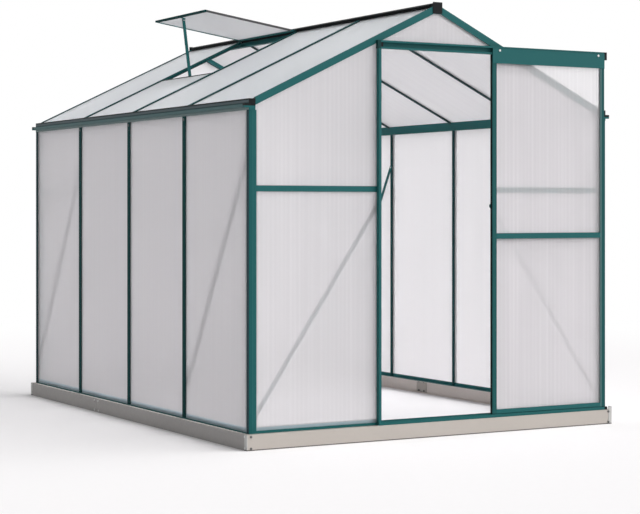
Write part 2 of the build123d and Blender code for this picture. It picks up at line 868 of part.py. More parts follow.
# Sliding door: stiles and rails round two panes
door_depths = (-door_gap - door_depth, -door_gap)
door_middle = sum(door_depths) / 2
door_slot = around(door_middle, pane + 2 * pane_gap)
door_bottom = guide_top + door_clearance
door_top = track_bottom - door_clearance
door_height = (door_bottom, door_top)
left_stile = (door_left, door_left + stile)
right_stile = (door_right - stile, door_right)
between = (left_stile[1], right_stile[0])
top_rail = (door_top - door_top_face, door_top)
mid_rail = around(door_mid_height, door_mid_face)
bottom_rail = (door_bottom, door_bottom + door_bottom_face)

with BuildPart() as door_stiles:
    slab(front_wall, left_stile, door_depths, door_height)
    slab(front_wall, right_stile, door_depths, door_height)
    slab(front_wall, (between[0] - slot_depth, between[0]), door_slot, door_height, Mode.SUBTRACT)
    slab(front_wall, (between[1], between[1] + slot_depth), door_slot, door_height, Mode.SUBTRACT)
finish(door_stiles, "door_stiles")

with BuildPart() as door_top_rail:
    slab(front_wall, between, door_depths, top_rail)
    slab(front_wall, between, door_slot, (top_rail[0], top_rail[0] + slot_depth), Mode.SUBTRACT)
finish(door_top_rail, "door_top_rail")

with BuildPart() as door_mid_rail:
    slab(front_wall, between, door_depths, mid_rail)
    slab(front_wall, between, door_slot, (mid_rail[0], mid_rail[0] + slot_depth), Mode.SUBTRACT)
    slab(front_wall, between, door_slot, (mid_rail[1] - slot_depth, mid_rail[1]), Mode.SUBTRACT)
finish(door_mid_rail, "door_mid_rail")

with BuildPart() as door_bottom_rail:
    slab(front_wall, between, door_depths, bottom_rail)
    slab(front_wall, between, door_slot, (bottom_rail[1] - slot_depth, bottom_rail[1]), Mode.SUBTRACT)
    fin_height = (sill_floor + door_clearance, door_bottom)
    slab(front_wall, between, around(-guide_depth / 2, fin_thickness), fin_height)
finish(door_bottom_rail, "door_bottom_rail")

with BuildPart() as door_panes:
    pane_run = (between[0] - slot_depth + edge_gap, between[1] + slot_depth - edge_gap)
    for low, high in [(bottom_rail[1], mid_rail[0]), (mid_rail[1], top_rail[0])]:
        pane_height = (low - slot_depth, high + slot_depth - edge_gap)
        slab(front_wall, pane_run, around(door_middle, pane), pane_height)
finish(door_panes, "door_panes")

plate_depths = (door_depths[0] - top_plate, door_depths[0])
axle_spots = [(line, header_height) for line in (door_left + axle_inset, door_right - axle_inset)]

with BuildPart() as door_top_plate:
    plate_rises = (track_bottom - plate_drop, track_bottom + plate_rise)
    slab(front_wall, (door_left, door_right), plate_depths, plate_rises)
    drill(front_wall, axle_spots, axle_radius, plate_depths)
finish(door_top_plate, "door_top_plate")

with BuildPart() as door_edge_seal:
    seal_line = (door_left - edge_seal_width, door_left)
    slab(front_wall, seal_line, around(door_middle, edge_seal_depth), door_height)
finish(door_edge_seal, "door_edge_seal")

# Door rollers run in the track on screws through the top plate
roller_radius = track_height / 2 - flange - roller_gap
roller_depth = (-track_depth + flange + roller_side_gap, -flange - roller_side_gap)

with BuildPart() as roller_axles:
    drill(front_wall, axle_spots, bolt_head_radius, (plate_depths[0] - bolt_head, plate_depths[0]), Mode.ADD)
    drill(front_wall, axle_spots, axle_radius, (plate_depths[0], roller_depth[1]), Mode.ADD)
    drill(front_wall, axle_spots, axle_collar, (plate_depths[1], roller_depth[0] - roller_gap), Mode.ADD)
finish(roller_axles, "roller_axles")


def roller(spot):
    """Door roller with a bore for its axle."""
    drill(front_wall, [spot], roller_radius, roller_depth, Mode.ADD)
    drill(front_wall, [spot], axle_radius + running_gap, roller_depth)


with BuildPart() as left_roller:
    roller(axle_spots[0])
finish(left_roller, "left_roller")

with BuildPart() as right_roller:
    roller(axle_spots[1])
finish(right_roller, "right_roller")

# Roof vent in its own plane: x out from the hinge, y up square to the pane, z along the ridge
vent_run = (near_bar + nose_width / 2 + vent_side_gap, far_bar - nose_width / 2 - vent_side_gap)
vent_middle = sum(vent_run) / 2
vent_plane = Plane(
    origin=(-hinge_x, 0, hinge_z),
    x_dir=(-cos(radians(open_tilt)), 0, sin(radians(open_tilt))),
    z_dir=(0, 1, 0),
)
vent_rise = (vent_low, neck / 2)
vent_pane_rise = around(sum(vent_rise) / 2, pane)
vent_slot_rise = around(sum(vent_rise) / 2, pane + 2 * pane_gap)
vent_start = knuckle_radius + knuckle_gap
vent_inner = (vent_start + vent_rail, vent_length - vent_outer)
vent_near = (vent_run[0], vent_run[0] + vent_side_rail)
vent_far = (vent_run[1] - vent_side_rail, vent_run[1])


def vent_block(reach, rise, run, mode=Mode.ADD):
    """Box in the vent's directions: out from the hinge, up from it, and along the ridge."""
    with BuildSketch(vent_plane.offset(run[0])) as outline:
        with Locations((sum(reach) / 2, sum(rise) / 2)):
            Rectangle(reach[1] - reach[0], rise[1] - rise[0])
    extrude(outline.sketch, amount=run[1] - run[0], mode=mode)


with BuildPart() as vent_hinge_rail:
    with BuildSketch(vent_plane.offset(vent_run[0])) as bead:
        Circle(bead_radius)
        with Locations((vent_start / 2, 0)):
            Rectangle(vent_start, neck)
    extrude(amount=vent_run[1] - vent_run[0])
    vent_block((vent_start, vent_inner[0]), vent_rise, vent_run)
    vent_block((vent_inner[0] - vent_slot, vent_inner[0]), vent_slot_rise, vent_run, Mode.SUBTRACT)
finish(vent_hinge_rail, "vent_hinge_rail")

with BuildPart() as vent_side_rails:
    vent_block(vent_inner, vent_rise, vent_near)
    vent_block(vent_inner, vent_rise, vent_far)
    vent_block(vent_inner, vent_slot_rise, (vent_near[1] - vent_slot, vent_near[1]), Mode.SUBTRACT)
    vent_block(vent_inner, vent_slot_rise, (vent_far[0], vent_far[0] + vent_slot), Mode.SUBTRACT)
finish(vent_side_rails, "vent_side_rails")

with BuildPart() as vent_outer_rail:
    vent_block((vent_inner[1], vent_length), vent_rise, vent_run)
    vent_block((vent_inner[1], vent_inner[1] + vent_slot), vent_slot_rise, vent_run, Mode.SUBTRACT)
finish(vent_outer_rail, "vent_outer_rail")

with BuildPart() as vent_pane:
    tuck = vent_slot - edge_gap
    tucked_run = (vent_near[1] - tuck, vent_far[0] + tuck)
    vent_block((vent_inner[0] - tuck, vent_inner[1] + tuck), vent_pane_rise, tucked_run)
finish(vent_pane, "vent_pane")


# Sill bar across the roof opening, under the vent's outer rail and the short pane
def below_hinge(reach, drop):
    """Point under the closed vent: out from the hinge along the slope, and down square to it."""
    return Vector(
        -hinge_x - reach * cos_pitch + drop * sin_pitch,
        0,
        hinge_z - reach * sin_pitch - drop * cos_pitch,
    )


sill_reach = vent_length - sill_overlap
sill_across = (hinge_x + sill_reach * cos_pitch, hinge_x + (sill_reach + sill_width) * cos_pitch)

with BuildPart() as vent_sill_bar:
    between_flanges = (near_bar + rafter_inner / 2, far_bar - rafter_inner / 2)
    between_stems = (near_bar + rafter_stem / 2, far_bar - rafter_stem / 2)
    sill_ledge_across = (sill_across[0], sill_across[0] + sill_ledge * cos_pitch)
    notch_across = (sill_across[0], sill_across[0] + stay_notch * cos_pitch)
    notch_run = around(vent_middle, stay_thickness + 2 * notch_room)
    hollow_across = (sill_across[0] + flange, sill_across[1] - flange)
    roof_strip(sill_across, (seat, backing), between_flanges)
    roof_strip(sill_across, (backing, sill_depth), between_stems)
    roof_strip(sill_ledge_across, ledge_depth, between_flanges)
    roof_strip(hollow_across, (backing, sill_depth - flange), between_stems, Mode.SUBTRACT)
    roof_strip(notch_across, (ledge_depth[0], sill_depth), notch_run, Mode.SUBTRACT)
finish(vent_sill_bar, "vent_sill_bar")

# Stay: it hangs from a bracket under the vent's outer rail, its foot beside the catch on the sill bar
pivot_reach = vent_length - pivot_inset
pivot_drop = ear_thickness + stay_gap + stay_width / 2 - vent_low
pivot = vent_plane.from_local_coords(Vector(pivot_reach, -pivot_drop, 0))
foot = below_hinge(sill_reach, foot_drop)
stay_length = (foot - pivot).length
stay_run = around(vent_middle, stay_thickness)
stay_plane = Plane(
    origin=(pivot.X, stay_run[0], pivot.Z),
    x_dir=(foot - pivot).normalized(),
    z_dir=(0, 1, 0),
)
ear_gap = stay_thickness / 2 + stay_gap
bracket_run = around(vent_middle, 2 * (ear_gap + ear_thickness))
ear_reach = around(pivot_reach, ear)

with BuildPart() as stay_bracket:
    with BuildSketch(vent_plane.offset(bracket_run[0])) as ear_outline:
        with Locations((pivot_reach, -pivot_drop)):
            Circle(ear / 2)
        with Locations((pivot_reach, (vent_low - pivot_drop) / 2)):
            Rectangle(ear, vent_low + pivot_drop)
    extrude(amount=bracket_run[1] - bracket_run[0])
    vent_block((ear_reach[1], sill_reach - stay_gap), (vent_low - ear_thickness, vent_low), bracket_run)
    gap_rise = (-pivot_drop - ear, vent_low - ear_thickness)
    vent_block(ear_reach, gap_rise, around(vent_middle, 2 * ear_gap), Mode.SUBTRACT)
    with BuildSketch(vent_plane.offset(bracket_run[0])) as pin_hole:
        with Locations((pivot_reach, -pivot_drop)):
            Circle(pin_radius)
    extrude(amount=bracket_run[1] - bracket_run[0], mode=Mode.SUBTRACT)
finish(stay_bracket, "stay_bracket")

with BuildPart() as stay_pin:
    with BuildSketch(vent_plane.offset(bracket_run[0])) as pin_section:
        with Locations((pivot_reach, -pivot_drop)):
            Circle(pin_radius)
    extrude(amount=bracket_run[1] - bracket_run[0])
finish(stay_pin, "stay_pin")

with BuildPart() as vent_stay:
    with BuildSketch(stay_plane) as stay_outline:
        with Locations((stay_length / 2, 0)):
            SlotCenterToCenter(stay_length, stay_width)
        Circle(pin_radius + running_gap, mode=Mode.SUBTRACT)
        with Locations((stay_length, 0)):
            Circle(peg_radius + hole_clearance, mode=Mode.SUBTRACT)
    extrude(amount=stay_thickness)
finish(vent_stay, "vent_stay")

with BuildPart() as stay_catch:
    catch_run = (vent_middle + catch_side, vent_middle + catch_side + catch_thickness)
    catch_across = (-foot.X - ear / 2, sill_across[0])
    roof_strip(catch_across, (ledge_depth[0] + ear_thickness, sill_depth), catch_run)
    with BuildSketch(Plane.XZ.offset(-vent_middle - ear_gap)) as peg:
        with Locations((foot.X, foot.Z)):
            Circle(peg_radius)
    extrude(amount=ear_gap - catch_side)
finish(stay_catch, "stay_catch")
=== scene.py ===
"""Looks of a small walk-in greenhouse: coated bars, twin-wall sheets, a steel base and studio light.

Sizes are in metres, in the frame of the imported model: origin on the ground at the middle of the base,
x to the right as seen from the doorway, y to the back, z up.
"""

import json
import logging
import math
from dataclasses import dataclass, replace
from enum import Enum

import bmesh
import bpy
from bpy.types import ID, Material, Mesh, Node, NodeSocket, NodeTree, Object
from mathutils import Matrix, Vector

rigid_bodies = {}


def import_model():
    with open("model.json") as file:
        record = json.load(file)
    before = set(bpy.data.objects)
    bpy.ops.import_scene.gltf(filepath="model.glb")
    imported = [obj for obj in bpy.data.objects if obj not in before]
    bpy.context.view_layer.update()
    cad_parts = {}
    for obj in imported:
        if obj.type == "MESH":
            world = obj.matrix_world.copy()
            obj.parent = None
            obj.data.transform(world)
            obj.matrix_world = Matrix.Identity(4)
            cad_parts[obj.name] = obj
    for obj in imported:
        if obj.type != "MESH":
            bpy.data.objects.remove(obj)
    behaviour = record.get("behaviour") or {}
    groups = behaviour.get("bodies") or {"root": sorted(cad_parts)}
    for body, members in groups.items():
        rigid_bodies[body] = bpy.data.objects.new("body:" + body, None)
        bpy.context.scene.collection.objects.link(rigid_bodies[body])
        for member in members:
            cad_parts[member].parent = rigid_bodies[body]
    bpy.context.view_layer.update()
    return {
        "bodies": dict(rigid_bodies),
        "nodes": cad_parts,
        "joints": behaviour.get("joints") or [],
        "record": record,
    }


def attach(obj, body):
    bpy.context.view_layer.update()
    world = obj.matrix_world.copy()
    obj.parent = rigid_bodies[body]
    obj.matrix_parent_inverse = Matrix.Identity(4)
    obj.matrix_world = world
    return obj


log = logging.getLogger("greenhouse")
ROOF_PITCH = math.radians(25.7)
UP = Vector((0.0, 0.0, 1.0))
ACROSS = Vector((1.0, 0.0, 0.0))
ALONG_RIDGE = Vector((0.0, 1.0, 0.0))
SIDES = (-1.0, 1.0)
STREAK_ALONG = 0.6
STREAK_ACROSS = 60.0

Colour = tuple[float, float, float]
Edges = list[tuple[Vector, Vector]]
Foot = tuple[Vector, Vector, Vector]
Prism = tuple[list[Vector], float]
Skin = tuple[NodeSocket, NodeSocket]


class Body(Enum):
    """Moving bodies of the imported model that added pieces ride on."""

    FRAME = "frame"
    DOOR = "door"
    VENT = "vent"


class Slot(Enum):
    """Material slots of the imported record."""

    GREEN = "green_aluminium"
    STEEL = "galvanised_steel"
    SHEET = "twin_wall_sheet"
    ZINC = "zinc_fasteners"


class Flutes(Enum):
    """How a sheet's hollow flutes run, as the direction across them."""

    UPRIGHT = (1.0, 1.0, 0.0)
    DOWN_SLOPE = (0.0, 1.0, 0.0)

    def stretch(self) -> tuple[float, ...]:
        """Scale of streaks that are fine across the flutes and long along them."""
        return tuple(STREAK_ALONG + STREAK_ACROSS * share for share in self.value)


class Axis(Enum):
    """Directions that bands are measured along; x counts away from the middle on both sides."""

    X = (1.0, 0.0, 0.0)
    Y = (0.0, 1.0, 0.0)
    Z = (0.0, 0.0, 1.0)
    ROOF = (math.tan(ROOF_PITCH), 0.0, 1.0)


class NodeBench:
    """Adds and wires the nodes of one tree."""

    def __init__(self, tree: NodeTree) -> None:
        """Keep the tree, emptied of its first nodes."""
        self.tree = tree
        tree.nodes.clear()

    def add(self, kind: str, inputs: dict | None = None, **settings: object) -> Node:
        """Add one node.

        Args:
            kind: Blender's name of the node type.
            inputs: values or sockets for its inputs, by name or by place.
            settings: the node's own properties.

        Returns:
            The new node.
        """
        node = self.tree.nodes.new(kind)
        for name, value in settings.items():
            setattr(node, name, value)
        for name, value in (inputs or {}).items():
            self.feed(node.inputs[name], value)
        return node

    def feed(self, socket: NodeSocket, value: object) -> None:
        """Link another node to a socket, or set its value.

        Args:
            socket: the input to feed.
            value: an output socket, a node for its first one, or a plain value; colours are opaque.
        """
        if isinstance(value, Node):
            value = value.outputs[0]
        if isinstance(value, NodeSocket):
            self.tree.links.new(value, socket)
        else:
            socket.default_value = (*value, 1.0) if socket.type == "RGBA" else value

    def place(self) -> NodeSocket:
        """Point on the surface, in the piece's own coordinates."""
        return self.add("ShaderNodeTexCoord").outputs["Object"]

    def noise(self, place: NodeSocket, scale: object, detail: float) -> Node:
        """Noise texture at a place."""
        return self.add("ShaderNodeTexNoise", {"Vector": place, "Scale": scale, "Detail": detail})

    def effect(self, group: NodeTree, scale: float) -> Node:
        """Shared group with its own scale."""
        return self.add("ShaderNodeGroup", {"Scale": scale}, node_tree=group)

    def math(self, operation: str, *values: object) -> NodeSocket:
        """Result of one Math node."""
        return self.add("ShaderNodeMath", dict(enumerate(values)), operation=operation).outputs[0]

    def dot(self, vector: NodeSocket, direction: tuple[float, ...]) -> NodeSocket:
        """How far a vector goes in a direction."""
        node = self.add("ShaderNodeVectorMath", {0: vector, 1: direction}, operation="DOT_PRODUCT")
        return node.outputs["Value"]

    def unsigned(self, vector: NodeSocket) -> NodeSocket:
        """A vector with every part counted as positive."""
        return self.add("ShaderNodeVectorMath", {0: vector}, operation="ABSOLUTE").outputs[0]

    def ranged(self, value: NodeSocket, low: float, high: float) -> NodeSocket:
        """A value from 0 to 1, moved to a range from low to high."""
        return self.add("ShaderNodeMapRange", {"Value": value, "To Min": low, "To Max": high}).outputs[0]

    def spread(self, value: NodeSocket, low: float, high: float) -> NodeSocket:
        """A value from low to high, moved to a range from 0 to 1."""
        node = self.add("ShaderNodeMapRange", {"Value": value, "From Min": low, "From Max": high})
        return node.outputs[0]

    def blend(self, mask: object, first: object, second: object) -> NodeSocket:
        """Colour that goes from the first to the second as the mask goes from 0 to 1."""
        node = self.add("ShaderNodeMix", {0: mask, 6: first, 7: second}, data_type="RGBA")
        return node.outputs[2]

    def bump(self, height: NodeSocket, strength: float, distance: float) -> NodeSocket:
        """Normal that follows a height."""
        inputs = {"Height": height, "Strength": strength, "Distance": distance}
        return self.add("ShaderNodeBump", inputs).outputs[0]


class SharedEffects:
    """Shader groups that several finishes use."""

    marks_finer = 9.0
    marks_range = (0.52, 0.74)
    bend_scale = 40.0
    bend_share = 0.02

    def __init__(self) -> None:
        """Build each group once."""
        self.grain = self._grain()
        self.clouds = self._clouds()
        self.spangle = self._spangle()

    def _group(self, name: str, scale: float, outputs: tuple[str, ...]) -> tuple:
        """Start a group.

        Args:
            name: name of the group.
            scale: first value of its scale.
            outputs: names of the values that it gives.

        Returns:
            The group, its bench, its scale and its output node.
        """
        group = bpy.data.node_groups.new(name, "ShaderNodeTree")
        socket = group.interface.new_socket("Scale", in_out="INPUT", socket_type="NodeSocketFloat")
        socket.default_value = scale
        for label in outputs:
            group.interface.new_socket(label, in_out="OUTPUT", socket_type="NodeSocketFloat")
        bench = NodeBench(group)
        start = bench.add("NodeGroupInput")
        return group, bench, start.outputs["Scale"], bench.add("NodeGroupOutput")

    def _grain(self) -> NodeTree:
        """Fine even texture of a coat, a moulding or rubber.

        Returns:
            The group.
        """
        group, bench, scale, end = self._group("Fine grain", 600.0, ("Height",))
        bench.feed(end.inputs["Height"], bench.noise(bench.place(), scale, detail=3.0).outputs["Fac"])
        return group

    def _clouds(self) -> NodeTree:
        """Broad soft changes of tone, with a second finer layer for handling marks.

        Returns:
            The group.
        """
        group, bench, scale, end = self._group("Soft clouds", 4.0, ("Tone", "Marks"))
        place = bench.place()
        finer = bench.math("MULTIPLY", scale, self.marks_finer)
        marks = bench.noise(place, finer, detail=6.0).outputs["Fac"]
        bench.feed(end.inputs["Tone"], bench.noise(place, scale, detail=4.0).outputs["Fac"])
        bench.feed(end.inputs["Marks"], bench.spread(marks, *self.marks_range))
        return group

    def _spangle(self) -> NodeTree:
        """Crystal pattern of hot-dip zinc: flat patches of slightly different tone.

        Returns:
            The group.
        """
        group, bench, scale, end = self._group("Zinc spangle", 90.0, ("Patch", "Edge"))
        place = bench.place()
        bend = bench.noise(place, self.bend_scale, detail=2.0).outputs["Color"]
        bent = bench.add("ShaderNodeMix", {0: self.bend_share, 4: place, 5: bend}, data_type="VECTOR")
        where = {"Vector": bent.outputs[1], "Scale": scale}
        patch = bench.add("ShaderNodeTexVoronoi", where)
        edge = bench.add("ShaderNodeTexVoronoi", where, feature="DISTANCE_TO_EDGE")
        grey = bench.add("ShaderNodeSeparateColor", {"Color": patch.outputs["Color"]})
        bench.feed(end.inputs["Patch"], grey.outputs[0])
        bench.feed(end.inputs["Edge"], edge.outputs["Distance"])
        return group


@dataclass(frozen=True)
class Bands:
    """Colours that change along one axis: each holds up to its own place, from a start onwards."""

    axis: Axis
    start: float
    stops: tuple[tuple[float, Colour], ...]
    outside: float = 0.0

    def over(self, bench: NodeBench, colour: NodeSocket) -> NodeSocket:
        """Lay the bands over a colour.

        Args:
            bench: the tree to work in.
            colour: what shows where no band lies.

        Returns:
            The banded colour.
        """
        away = bench.unsigned(bench.place())
        along = bench.dot(away, self.axis.value)
        banded = colour
        for end, band in reversed(self.stops):
            banded = bench.blend(bench.math("LESS_THAN", along, end), banded, band)
        after = bench.math("GREATER_THAN", along, self.start)
        far_out = bench.math("GREATER_THAN", bench.dot(away, Axis.X.value), self.outside)
        return bench.blend(bench.math("MULTIPLY", after, far_out), colour, banded)


@dataclass(frozen=True, kw_only=True)
class Finish:
    """Common part of every finish: one Principled shader with its gloss, roughness and bands."""

    name: str
    roughness: tuple[float, float]
    cloud_scale: float
    gloss: float = 0.5
    bands: Bands | None = None

    def make(self, effects: SharedEffects) -> Material:
        """Build the material.

        Args:
            effects: the shared groups.

        Returns:
            The material.
        """
        material = bpy.data.materials.new(self.name)
        material.use_nodes = True
        bench = NodeBench(material.node_tree)
        shader = bench.add("ShaderNodeBsdfPrincipled")
        bench.add("ShaderNodeOutputMaterial", {"Surface": shader})
        skin, fine = self.skin(bench, shader, effects)
        if self.bands:
            skin = self.bands.over(bench, skin)
        bench.feed(shader.inputs["Base Color"], skin)
        bench.feed(shader.inputs["Roughness"], bench.ranged(fine, *self.roughness))
        shader.inputs["Specular IOR Level"].default_value = self.gloss
        return material

    def skin(self, bench: NodeBench, shader: Node, effects: SharedEffects) -> Skin:
        """Colour and fine texture of the surface; every finish has its own."""
        raise NotImplementedError


@dataclass(frozen=True, kw_only=True)
class PowderCoat(Finish):
    """Satin powder coat on extruded bars."""

    deep: Colour
    light: Colour
    dust: Colour
    dust_share: float = 0.12
    cloud_scale: float = 3.0
    grain_scale: float = 700.0
    bump: tuple[float, float] = (0.08, 0.0006)

    def skin(self, bench: NodeBench, shader: Node, effects: SharedEffects) -> Skin:
        """Lay soft clouds, a little dust and a fine grain over each other.

        Args:
            bench: the material's tree.
            shader: its shader.
            effects: the shared groups.

        Returns:
            The colour and the grain.
        """
        clouds = bench.effect(effects.clouds, self.cloud_scale)
        grain = bench.effect(effects.grain, self.grain_scale).outputs["Height"]
        coat = bench.blend(clouds.outputs["Tone"], self.deep, self.light)
        dusty = bench.ranged(clouds.outputs["Marks"], 0.0, self.dust_share)
        bench.feed(shader.inputs["Normal"], bench.bump(grain, *self.bump))
        return bench.blend(dusty, coat, self.dust), grain


@dataclass(frozen=True, kw_only=True)
class ZincCoat(Finish):
    """Hot-dip galvanised or plated steel with its spangle."""

    dark: Colour
    light: Colour
    metallic: float
    patch_scale: float
    patch_share: float
    cloud_scale: float = 2.5
    cloud_share: float = 0.55
    bump: tuple[float, float] = (0.12, 0.0004)

    def skin(self, bench: NodeBench, shader: Node, effects: SharedEffects) -> Skin:
        """Lay the spangle over broad clouds.

        Args:
            bench: the material's tree.
            shader: its shader.
            effects: the shared groups.

        Returns:
            The colour and the spangle's patches.
        """
        spangle = bench.effect(effects.spangle, self.patch_scale).outputs
        clouds = bench.effect(effects.clouds, self.cloud_scale).outputs["Tone"]
        broad = bench.ranged(clouds, 0.0, self.cloud_share)
        tone = bench.math("MULTIPLY_ADD", spangle["Patch"], self.patch_share, broad)
        bench.feed(shader.inputs["Normal"], bench.bump(spangle["Edge"], *self.bump))
        shader.inputs["Metallic"].default_value = self.metallic
        return bench.blend(tone, self.dark, self.light), spangle["Patch"]


@dataclass(frozen=True, kw_only=True)
class Moulding(Finish):
    """Black moulded plastic or rubber."""

    deep: Colour
    light: Colour
    grain_scale: float
    cloud_scale: float = 12.0
    cloud_share: float = 0.5
    bump: tuple[float, float] = (0.25, 0.0005)

    def skin(self, bench: NodeBench, shader: Node, effects: SharedEffects) -> Skin:
        """Lay handling marks over broad clouds and a fine grain.

        Args:
            bench: the material's tree.
            shader: its shader.
            effects: the shared groups.

        Returns:
            The colour and the grain.
        """
        grain = bench.effect(effects.grain, self.grain_scale).outputs["Height"]
        clouds = bench.effect(effects.clouds, self.cloud_scale).outputs
        broad = bench.ranged(clouds["Tone"], 0.0, self.cloud_share)
        tone = bench.math("MAXIMUM", clouds["Marks"], broad)
        bench.feed(shader.inputs["Normal"], bench.bump(grain, *self.bump))
        return bench.blend(tone, self.deep, self.light), grain


@dataclass(frozen=True, kw_only=True)
class TwinWallSheet(Finish):
    """Milky hollow plastic sheet: partly clear, partly scattering, with streaks along its flutes.

    "daylight" is the share of light that falls through, "outer" the tones of the outward face of a sheet
    whose inner side is painted brighter for the light behind it.
    """

    flutes: Flutes
    dull: Colour
    bright: Colour
    clear: float
    lines: float
    outer: tuple[Colour, Colour] | None = None
    outer_from: float = 0.924
    daylight: float = 0.935
    roughness: tuple[float, float] = (0.38, 0.46)
    line_pitch: float = 0.021
    streak_detail: float = 4.0
    streak_range: tuple[float, float] = (0.3, 0.7)
    cloud_scale: float = 1.5
    cloud_tone: tuple[float, float] = (0.6, 1.2)
    ior: float = 1.2
    gloss: float = 0.3

    def skin(self, bench: NodeBench, shader: Node, effects: SharedEffects) -> Skin:
        """Mix even lines, uneven streaks and broad clouds, and let the light through.

        Args:
            bench: the material's tree.
            shader: its shader.
            effects: the shared groups.

        Returns:
            The colour and the streaks.
        """
        place = bench.place()
        stretch = bench.add("ShaderNodeMapping", {"Vector": place, "Scale": self.flutes.stretch()})
        streaks = bench.noise(stretch.outputs[0], 1.0, self.streak_detail).outputs["Fac"]
        streak = bench.spread(streaks, *self.streak_range)
        turn = bench.math("MULTIPLY", bench.dot(place, self.flutes.value), math.tau / self.line_pitch)
        wave = bench.math("MULTIPLY", bench.math("SINE", turn), streak)
        line = bench.math("MULTIPLY_ADD", wave, 0.5 * self.lines, 0.5 * self.lines)
        clouds = bench.effect(effects.clouds, self.cloud_scale).outputs["Tone"]
        broad = bench.math("MULTIPLY", streak, bench.ranged(clouds, *self.cloud_tone))
        tone = bench.math("MULTIPLY_ADD", broad, 1.0 - self.lines, line)
        skin = bench.blend(tone, self.dull, self.bright)
        # Painted light: the outward face keeps its own tones while the rest is painted brighter.
        if self.outer:
            away = bench.math("ABSOLUTE", bench.dot(place, Axis.X.value))
            outside = bench.math("GREATER_THAN", away, self.outer_from)
            skin = bench.blend(outside, skin, bench.blend(tone, *self.outer))
        shadow = bench.add("ShaderNodeLightPath").outputs["Is Shadow Ray"]
        bench.feed(shader.inputs["Alpha"], bench.ranged(shadow, 1.0, 1.0 - self.daylight))
        shader.inputs["Transmission Weight"].default_value = self.clear
        shader.inputs["IOR"].default_value = self.ior
        return skin, streak


